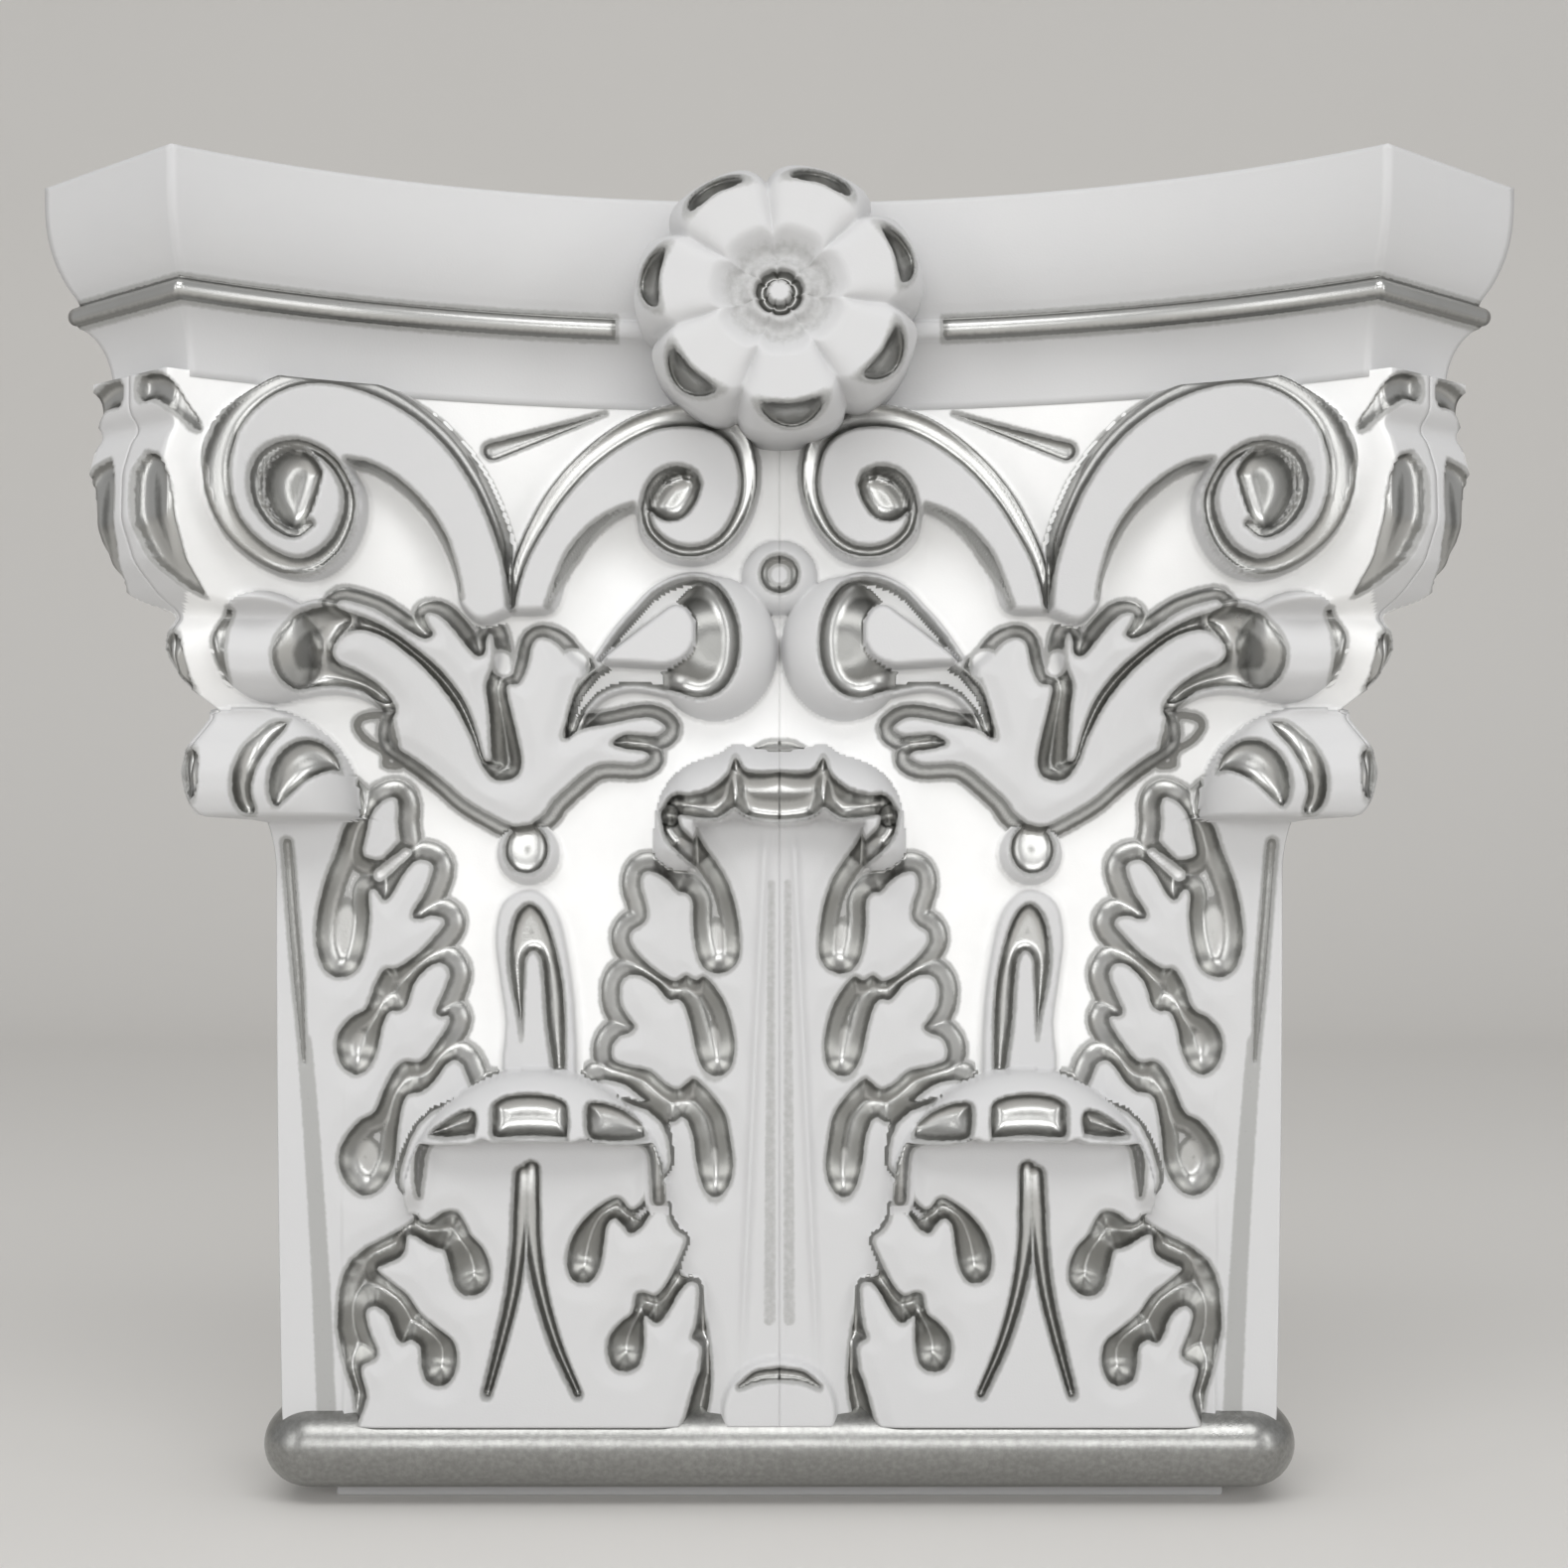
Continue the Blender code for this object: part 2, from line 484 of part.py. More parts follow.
def flower():
    """The rosette: seven cupped petals about a dished heart and a button."""
    rings = 24
    spokes = 140
    share, angle = np.meshgrid(np.linspace(0.0, 1.0, rings + 1),
                               np.linspace(0.0, 2 * np.pi, spokes, endpoint=False), indexing="ij")
    phase = ((angle - np.radians(96.0)) * PETALS / (2 * np.pi)) % 1.0
    crease = np.abs(phase - 0.5) * 2.0
    edge = ROSETTE_RADIUS * (1.0 - 0.11 * crease ** 4)
    relief = 0.77 - 0.68 * ramp(share, 0.80, 1.12) ** 1.2
    relief += 0.18 * ramp(share, 0.30, 0.55) - 0.11 * crease ** 3 * ramp(share, 0.2, 0.7)
    scoop = np.hypot((share - 0.86) / 0.085, crease / 0.62)
    relief -= 0.2 * np.sqrt(np.maximum(1.0 - scoop ** 2, 0.0))
    relief += 0.12 * np.exp(-((share - 0.17) / 0.05) ** 2) + 0.14 * np.exp(-(share / 0.09) ** 2)
    depth = WAIST_DEPTH + ROSETTE_DEPTH * relief
    points = np.dstack([edge * share * np.cos(angle), -depth,
                        ROSETTE_UP + edge * share * np.sin(angle) * 0.93]).reshape(-1, 3)
    back = points[-spokes:].copy()
    back[:, 1] = -(WAIST_DEPTH - 1.3 * SLAB_STEP)
    faces = grid_faces(rings + 2, spokes, True)
    faces.append(tuple((rings + 1) * spokes + s for s in range(spokes)))
    made = mesh_object("flower", np.vstack([points, back]), faces)
    face_outwards(made)
    return made


def ring_plan(offset, corner_radius):
    """Half plan of a band round the shaft, from the middle of the front to past the wall."""
    half_width = SHAFT_WIDTH / 2.0 + offset
    front = SHAFT_DEPTH + offset
    turn = np.linspace(0.0, np.pi / 2, 7)
    corner = np.column_stack([half_width - corner_radius * (1 - np.sin(turn)),
                              front - corner_radius * (1 - np.cos(turn))])
    return np.vstack([[(0.0, front)], corner, [(half_width, -SPARE)]])


def band(name, profile, corner_radius):
    """A band round the shaft's front and sides from a profile of offsets and heights."""
    rings = []
    for offset, height in profile:
        half = ring_plan(offset, max(corner_radius + offset, 0.1 * corner_radius))
        right = np.column_stack([half[:, 0], -half[:, 1], np.full(len(half), height)])
        left = right[::-1][:-1] * np.array([-1.0, 1.0, 1.0])
        rings.append(np.vstack([left, right]))
    columns = len(rings[0])
    faces = grid_faces(len(rings), columns, True)
    faces.append(tuple(range(columns)))
    faces.append(tuple((len(rings) - 1) * columns + c for c in range(columns)))
    made = mesh_object(name, np.vstack(rings), faces)
    face_outwards(made)
    return made


def foot():
    """The half-round ring at the foot of the bell and the plain fillet below it."""
    centre = NECK_HEIGHT + TORUS_RADIUS
    turn = np.linspace(np.pi / 2, -np.pi / 2, 11)
    profile = [(-2.0 * NECK_INSET, centre + TORUS_RADIUS)]
    profile += [(TORUS_RADIUS * np.cos(t) - TORUS_OUT, centre + TORUS_RADIUS * np.sin(t))
                for t in turn]
    profile += [(-NECK_INSET, NECK_HEIGHT), (-NECK_INSET, -SPARE)]
    return band("foot", profile, 0.5 * NECK_INSET)


def apply_modifiers(made):
    """Keep an object's evaluated mesh and drop its modifiers."""
    graph = bpy.context.evaluated_depsgraph_get()
    mesh = bpy.data.meshes.new_from_object(made.evaluated_get(graph))
    made.modifiers.clear()
    made.data = mesh


def fuse(name, pieces):
    """Cast several closed pieces as one skin on a fine grid, and drop the pieces."""
    sheet = bmesh.new()
    for piece in pieces:
        sheet.from_mesh(piece.data)
        bpy.data.objects.remove(piece)
    mesh = bpy.data.meshes.new(name)
    sheet.to_mesh(mesh)
    sheet.free()
    made = bpy.data.objects.new(name, mesh)
    bpy.context.collection.objects.link(made)
    skin = made.modifiers.new("skin", "REMESH")
    skin.mode = "VOXEL"
    skin.voxel_size = SKIN_GRID * MM
    apply_modifiers(made)
    return made


def trim(made, point, outward, close=True):
    """Cut a mesh off flat along a plane, and close the cut if asked."""
    sheet = bmesh.new()
    sheet.from_mesh(made.data)
    everything = sheet.verts[:] + sheet.edges[:] + sheet.faces[:]
    bmesh.ops.bisect_plane(sheet, geom=everything, dist=2e-6, plane_co=point,
                           plane_no=outward, clear_outer=True)
    if close:
        rim = [edge for edge in sheet.edges if edge.is_boundary]
        bmesh.ops.holes_fill(sheet, edges=rim, sides=0)
    bmesh.ops.triangulate(sheet, faces=[face for face in sheet.faces if len(face.verts) > 3])
    sheet.to_mesh(made.data)
    sheet.free()


def level(made, axis, place, reach):
    """Bring points that lie just off a plane onto it."""
    for point in made.data.vertices:
        if abs(point.co[axis] - place) < reach:
            point.co[axis] = place


def simplify(made, triangles):
    """Let flat stretches share large faces until about so many triangles are left."""
    thin = made.modifiers.new("simplify", "DECIMATE")
    thin.ratio = triangles / sum(len(face.vertices) - 2 for face in made.data.polygons)
    apply_modifiers(made)


def mirror(made):
    """Bring a right half's open rim onto the plane x = 0 and add the left half to it."""
    sheet = bmesh.new()
    sheet.from_mesh(made.data)
    for point in sheet.verts:
        point.co.x = 0.0 if point.is_boundary else max(point.co.x, 0.00005)
    flat = [face for face in sheet.faces if max(point.co.x for point in face.verts) == 0.0]
    bmesh.ops.delete(sheet, geom=flat, context="FACES")
    sheet.to_mesh(made.data)
    sheet.free()
    other = made.modifiers.new("mirror", "MIRROR")
    other.merge_threshold = 0.00001
    apply_modifiers(made)


def main():
    """Build the capital as one closed solid."""
    for old in list(bpy.data.objects):
        bpy.data.objects.remove(old)
    capital = fuse("capital", [carved_bell(), flower(), slab(), foot()])
    near = 0.5 * SKIN_GRID * MM
    level(capital, 2, HEIGHT * MM, 1.6 * near)
    trim(capital, (0.0, 0.0, 0.0), (0.0, 1.0, 0.0))
    trim(capital, (0.0, 0.0, 0.0), (0.0, 0.0, -1.0))
    trim(capital, (0.0, 0.0, 0.0), (-1.0, 0.0, 0.0), close=False)
    simplify(capital, TRIANGLES / 2)
    for axis, place in ((1, 0.0), (2, 0.0), (2, HEIGHT * MM)):
        level(capital, axis, place, 0.2 * near)
    mirror(capital)
    capital.data.transform(Matrix.Translation((0.0, HORN_DEPTH / 2.0 * MM, 0.0)))
    capital.data.materials.append(surface_material("cast white", (0.83, 0.83, 0.82), 0.55, 0.0))
    capital.data.shade_smooth()
    capital.data.set_sharp_from_angle(angle=np.radians(35.0))


main()
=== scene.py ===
"""The looks of a cast pilaster capital: white, its hollows and leaf edges painted silver.

The carving is drawn on one half of the front, in millimetres: "out" is the distance from the
centre line and "up" the height above the underside. A left half mirrors it, and each side
return mirrors the front about the corner's diagonal plane. Every ornament gives two values at
each spot: its height over the bell, and how far inside the silver paint the spot lies.
"""

from __future__ import annotations

import logging
from dataclasses import dataclass, field
from enum import Enum

import bmesh
import bpy
import numpy as np
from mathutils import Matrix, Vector


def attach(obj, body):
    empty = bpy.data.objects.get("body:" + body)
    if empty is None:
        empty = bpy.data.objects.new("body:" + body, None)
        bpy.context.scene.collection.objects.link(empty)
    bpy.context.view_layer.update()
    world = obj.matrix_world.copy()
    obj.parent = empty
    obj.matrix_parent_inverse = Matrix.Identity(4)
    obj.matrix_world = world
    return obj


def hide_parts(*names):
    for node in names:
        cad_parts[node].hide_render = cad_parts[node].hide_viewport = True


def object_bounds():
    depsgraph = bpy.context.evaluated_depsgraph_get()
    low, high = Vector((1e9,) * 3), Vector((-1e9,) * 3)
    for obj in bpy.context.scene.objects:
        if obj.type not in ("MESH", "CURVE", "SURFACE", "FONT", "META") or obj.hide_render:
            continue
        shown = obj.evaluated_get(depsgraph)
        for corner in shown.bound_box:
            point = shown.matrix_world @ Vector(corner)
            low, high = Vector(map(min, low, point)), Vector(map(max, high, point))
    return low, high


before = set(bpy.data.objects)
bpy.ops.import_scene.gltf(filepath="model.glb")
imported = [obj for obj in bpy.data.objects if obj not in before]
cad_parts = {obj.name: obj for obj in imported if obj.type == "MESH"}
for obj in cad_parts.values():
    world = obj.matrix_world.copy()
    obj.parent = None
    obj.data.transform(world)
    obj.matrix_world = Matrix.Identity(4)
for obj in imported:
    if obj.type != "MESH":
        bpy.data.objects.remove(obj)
CAD_BOX = [list(corner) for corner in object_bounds()]

Array = np.ndarray
Point = tuple[float, float]
Outline = tuple[Point, ...]
Oval = tuple[Point, float, float]
Colour = tuple[float, float, float, float]
LOG = logging.getLogger("capital")
MM = 0.001
UNPAINTED = -9.0
RAISED = 3.0
NODE = "capital"


class Side(Enum):
    """Which half of the capital a piece lies on."""

    LEFT = -1.0
    RIGHT = 1.0


def linked(name: str, data: bpy.types.ID) -> bpy.types.Object:
    """A new object in the scene."""
    made = bpy.data.objects.new(name, data)
    bpy.context.scene.collection.objects.link(made)
    return made


@dataclass
class Spot:
    """Places on the drawing: arrays of distance out and height up, in millimetres."""

    out: Array
    up: Array


@dataclass
class Layer:
    """A relief: its height over the bell and its depth inside the painted area."""

    height: Array
    paint: Array

    def over(self, below: Layer, margin: float = 0.12) -> Layer:
        """Lay this relief over another; the higher one shows, with its own paint.

        Args:
            below: The relief that this one covers.
            margin: Heights closer than this count as equal, and share both paints.

        Returns:
            The joined relief.
        """
        gap = self.height - below.height
        both = np.maximum(self.paint, below.paint)
        paint = np.where(gap > margin, self.paint, np.where(gap < -margin, below.paint, both))
        return Layer(np.maximum(self.height, below.height), paint)

    def scooped(self, distance: Array, radius: float, depth: float | Array,
                spread: float = 0.1) -> Layer:
        """Sink a painted, round-bottomed hollow into this relief.

        Args:
            distance: Distance to the hollow's outline, negative inside.
            radius: Distance from the outline at which it is deepest.
            depth: Greatest depth.
            spread: How far the paint runs past the outline.

        Returns:
            The relief with the hollow.
        """
        sunk = Layer(self.height - cupped(distance, radius, depth), self.paint)
        return sunk.painted(distance, spread)

    def painted(self, distance: Array, spread: float = 0.2) -> Layer:
        """Paint the inside of an outline, and a little past it, without a hollow."""
        return Layer(self.height, np.maximum(self.paint, spread - distance))


def bare(height: Array) -> Layer:
    """A relief without paint."""
    return Layer(height, np.full_like(height, UNPAINTED))


def ease(value: Array) -> Array:
    """A smooth step from 0 to 1: three squares less two cubes of the clipped value."""
    value = np.clip(value, 0.0, 1.0)
    return value * value * (3.0 - 2.0 * value)


def ramp(value: Array, start: float, end: float) -> Array:
    """A smooth step from 0 at start to 1 at end."""
    return ease((value - start) / (end - start))


def bar(spot: Spot, start: Point, end: Point, start_radius: float, end_radius: float) -> Array:
    """Distance to a bar with round ends and an even taper, negative inside.

    The nearest point on the bar's line is the clipped projection, and the radius there is
    taken from the distance to it.

    Args:
        spot: Where to measure.
        start: First end of the line.
        end: Second end.
        start_radius: Radius at the first end.
        end_radius: Radius at the second.

    Returns:
        The distances.
    """
    run = (end[0] - start[0], end[1] - start[1])
    length2 = run[0] * run[0] + run[1] * run[1] + 1e-9
    along = ((spot.out - start[0]) * run[0] + (spot.up - start[1]) * run[1]) / length2
    along = np.clip(along, 0.0, 1.0)
    gap = np.hypot(spot.out - start[0] - along * run[0], spot.up - start[1] - along * run[1])
    return gap - (start_radius + (end_radius - start_radius) * along)


def oval(spot: Spot, centre: Point, half_out: float, half_up: float, turn: float = 0.0) -> Array:
    """Rough distance to an oval, negative inside: its reach less one, times its short half."""
    out, up = spot.out - centre[0], spot.up - centre[1]
    cos, sin = np.cos(turn), np.sin(turn)
    reach = np.hypot((out * cos + up * sin) / half_out, (up * cos - out * sin) / half_up)
    return (reach - 1.0) * np.minimum(half_out, half_up)


def ovals(spot: Spot, each: tuple[Oval, ...]) -> Array:
    """Distance to the nearest of several ovals, each a centre and its two halves."""
    return np.minimum.reduce([oval(spot, *sizes) for sizes in each])


def curve(points: tuple, steps: int = 6) -> Array:
    """Points along a smooth curve through the given ones, a cubic between each two."""
    known = np.array(points, dtype=float)
    ends = np.vstack([2 * known[0] - known[1], known, 2 * known[-1] - known[-2]])
    share = np.linspace(0, 1, steps, endpoint=False)[:, None]
    runs = [0.5 * (2 * b + (c - a) * share + (2 * a - 5 * b + 4 * c - d) * share ** 2
                   + (3 * b - a - 3 * c + d) * share ** 3)
            for a, b, c, d in zip(ends, ends[1:], ends[2:], ends[3:])]
    return np.vstack(runs + [known[-1:]])


def stroke(spot: Spot, points: Outline, radii: tuple[float, ...], steps: int = 6) -> Array:
    """Distance to a brush stroke along a smooth curve, negative inside.

    Args:
        spot: Where to measure.
        points: Points on the curve.
        radii: Radii that the stroke passes through at even steps.
        steps: Straight pieces between each two points.

    Returns:
        The distances.
    """
    line = curve(points, steps)
    wide = np.interp(np.linspace(0, 1, len(line)), np.linspace(0, 1, len(radii)), radii)
    return np.minimum.reduce([bar(spot, line[i], line[i + 1], wide[i], wide[i + 1])
                              for i in range(len(line) - 1)])


def raised(distance: Array, height: float, slope: float = 3.0) -> Array:
    """A flat-topped relief whose edge slopes evenly across its outline."""
    return height * ramp(-distance, -slope / 2.0, slope / 2.0)


def cupped(distance: Array, radius: float, depth: float | Array) -> Array:
    """A round-bottomed hollow, deepest where the distance is -radius."""
    share = np.clip(1.0 + distance / radius, 0.0, 1.0)
    return depth * np.sqrt(1.0 - share * share) * (distance < 0)


def domed(distance: Array, radius: float, height: float) -> Array:
    """A round-topped swelling, highest where the distance is -radius."""
    share = np.clip(1.0 + distance / radius, 0.0, 1.0)
    return height * np.sqrt(1.0 - share * share)


def bounded(spot: Spot, points: tuple, steps: int = 4, reach: float = 7.0) -> Array:
    """Distance to a closed smooth outline, negative inside.

    It is measured only near the outline. Further off it stays at the reach. A spot is inside
    when a line from it crosses the outline an odd number of times.

    Args:
        spot: Where to measure.
        points: Points on the outline, in order.
        steps: Straight pieces between each two of them.
        reach: Greatest distance.

    Returns:
        The distances.
    """
    ring = np.array(points, dtype=float)
    line = curve(tuple(map(tuple, np.vstack([ring, ring[:1]]))), steps)
    low, high = line.min(axis=0) - reach, line.max(axis=0) + reach
    near = ((spot.out > low[0]) & (spot.out < high[0]) & (spot.up > low[1]) & (spot.up < high[1]))
    out, up = spot.out[near], spot.up[near]
    gap = np.full(out.shape, reach)
    inside = np.zeros(out.shape, dtype=bool)
    for start, end in zip(line, line[1:]):
        run = end - start
        along = ((out - start[0]) * run[0] + (up - start[1]) * run[1]) / (run @ run + 1e-9)
        along = np.clip(along, 0.0, 1.0)
        gap = np.minimum(gap, np.hypot(out - start[0] - along * run[0],
                                       up - start[1] - along * run[1]))
        if run[1] != 0.0:
            crossed = (start[1] > up) != (end[1] > up)
            inside ^= crossed & (out < start[0] + (up - start[1]) / run[1] * run[0])
    distance = np.full(spot.out.shape, reach)
    distance[near] = np.where(inside, -gap, gap)
    return distance


def nearest(spot: Spot, outlines: tuple[Outline, ...]) -> Array:
    """Distance to the nearest of several closed outlines."""
    return np.minimum.reduce([bounded(spot, outline) for outline in outlines])


@dataclass(frozen=True)
class LeafEdge:
    """How a leaf's face falls to the bell: its height, and a hollow slope, painted silver."""

    height: float = 3.8
    slope: float = 4.4
    lift: float = 0.5
    painted: bool = True

    def layer(self, distance: Array) -> Layer:
        """The relief of a leaf from the distance to its face.

        The slope falls steeply from the face and flattens towards the bell, and the face
        rises a little more behind its edge.
        """
        share = np.clip(distance / self.slope, 0.0, 1.0)
        height = self.height * (1.0 - share) ** 1.7 + self.lift * ramp(-distance, 0.0, 4.0)
        if not self.painted:
            return bare(height)
        return Layer(height, np.minimum(distance, self.slope - distance) + 0.2)


@dataclass(frozen=True)
class MiddleLeaf:
    """The tall leaf on the centre line: face, ribs and a curled tip."""

    edge: LeafEdge = field(default_factory=LeafEdge)
    hood_height: float = 12.0
    lip: float = 137.6
    web: float = 9.0
    wing: float = 17.5
    pits: tuple[Oval, ...] = (((13.2, 113.5), 3.6, 6.0), ((13.6, 92.6), 3.4, 6.0),
                              ((13.4, 68.2), 3.2, 6.0))
    face: Outline = (
        (-6, 12), (-6, 80), (-6, 146), (10, 146), (17.2, 139), (16.2, 134.6), (13.2, 130.4),
        (10.6, 126.2), (8.8, 120.8), (8.0, 115), (8.2, 110.8), (10.2, 108.2), (13.4, 107.4),
        (16.3, 109.2), (17.7, 113.5), (18.2, 118.6), (18.2, 122), (19.3, 123.7), (21, 124),
        (22.8, 126), (25.5, 127.8), (27.8, 127.8), (28.3, 125.3), (27.2, 121.4), (27.1, 118.8),
        (28.4, 117.2), (30.2, 116), (30.4, 114), (28.4, 111.2), (25, 108.2), (21.6, 106.4),
        (19.4, 107.6), (17.4, 106.6), (15.3, 107.2), (11.8, 102.9), (10, 98.6), (9.1, 93.6),
        (9.6, 89.4), (11.6, 87.1), (14, 86.9), (16.2, 88.6), (17.5, 92.1), (18.4, 96.4),
        (19.6, 100.6), (20.9, 102.2), (22.6, 102), (24, 103.2), (25.6, 105.2), (28.6, 107),
        (31, 107), (32.4, 105.2), (32.3, 101.5), (30.7, 98.8), (29.4, 96.9), (30.6, 95.5),
        (32.8, 94.7), (34.1, 92.8), (33.8, 90.4), (31, 89.2), (26.6, 88.2), (23.5, 85.6),
        (21, 84.6), (19, 86), (17.4, 86.6), (13.6, 82.9), (11.1, 79.3), (10, 74.3),
        (9.4, 69.3), (10.2, 65.2), (12.3, 62.6), (14.6, 62.6), (16.4, 65.2), (17.5, 70),
        (18.2, 75), (19.8, 78.4), (22.2, 77.4), (25, 79.2), (28.6, 82.6), (33, 85.4),
        (38, 84), (34, 66), (24, 52), (16, 40), (14, 26), (14, 12))
    brow: Outline = (
        (-25.2, 131), (-25.8, 137), (-24.6, 143.2), (-21.6, 147.8), (-17.6, 150.4), (-12.8, 151.9),
        (-9, 154), (-4.6, 153), (0, 152.4), (4.6, 153), (9, 154), (12.8, 151.9), (17.6, 150.4),
        (21.6, 147.8), (24.6, 143.2), (25.8, 137), (25.2, 131), (19, 128.5), (12, 136), (0, 136.5),
        (-12, 136))
    cells: Outline = (
        (-9, 151.6), (-8.0, 150.4), (-6.8, 148.6), (-3.5, 148.1), (0, 148.4), (3.5, 148.1),
        (6.8, 148.6), (8.0, 150.4), (9, 151.6), (9.9, 150.2), (10.8, 147.8), (14, 145.0),
        (18, 143.8), (21.5, 143.8), (23.6, 141.4), (23.6, 138), (21.4, 137.6), (20.2, 139.2),
        (16.4, 138.7), (13, 138.7), (10.6, 139.9), (9, 140.8), (7.4, 139.6), (5, 138.8),
        (0, 138.4), (-5, 138.8), (-9, 140.8))

    def hood(self, spot: Spot) -> Layer:
        """The curled tip: a swelling with a wavy brow over three silver cells.

        The web parts two cells, and the tip hangs below its lip from the wing outwards.
        """
        brow = bounded(spot, self.brow, reach=12.0)
        swell = self.edge.height + domed(brow, 8.0, self.hood_height)
        swell = np.where(brow < 0, swell, 0.0)
        cells = bounded(spot, self.cells, reach=6.0)
        cleft = stroke(spot, ((22.6, 139.6), (21.2, 135.6), (17.0, 131.4), (13.0, 127.2),
                              (10.9, 121.5)), (1.9, 2.2, 2.2, 1.6))
        deepest = np.minimum(6.5, 0.6 * swell)
        top = bare(swell).scooped(cells, 3.4, deepest).scooped(cleft, 2.2, 0.7 * deepest)
        ridge = 2.6 * np.exp(-((spot.out - self.web) / 1.3) ** 2) * (cells < 0)
        lip = self.lip + 1.6 * np.exp(-((spot.out - self.web) / 3.0) ** 2)
        above = ramp(spot.up, lip - 0.8, lip + 0.8)
        under = np.where(spot.out > self.wing, top.height, 0.0)
        height = np.where(brow < 0, np.maximum((top.height + ridge) * above, under), 0.0)
        shown = (brow < 0) & ((above > 0.3) | (spot.out > self.wing))
        return Layer(height, np.where(shown, top.paint, UNPAINTED))

    def layer(self, spot: Spot) -> Layer:
        """The whole leaf, with two ribs that draw apart towards its foot."""
        leaf = self.edge.layer(bounded(spot, self.face))
        apart = 2.8 + (137.0 - spot.up) * 0.047
        ridge = np.exp(-((spot.out - apart) / 0.8) ** 2) - 0.6 * np.exp(-(spot.out / 1.5) ** 2)
        leaf.height = leaf.height + ridge * ramp(-spot.up, -138, -130) * ramp(spot.up, 22, 50)
        leaf = leaf.painted(ovals(spot, self.pits))
        faint = stroke(spot, ((1.6, 126), (1.8, 90), (2.0, 38)), (0.5, 0.7, 1.0))
        leaf.paint = np.maximum(leaf.paint, np.minimum(-0.14 - faint, -0.14))
        return self.hood(spot).over(leaf)


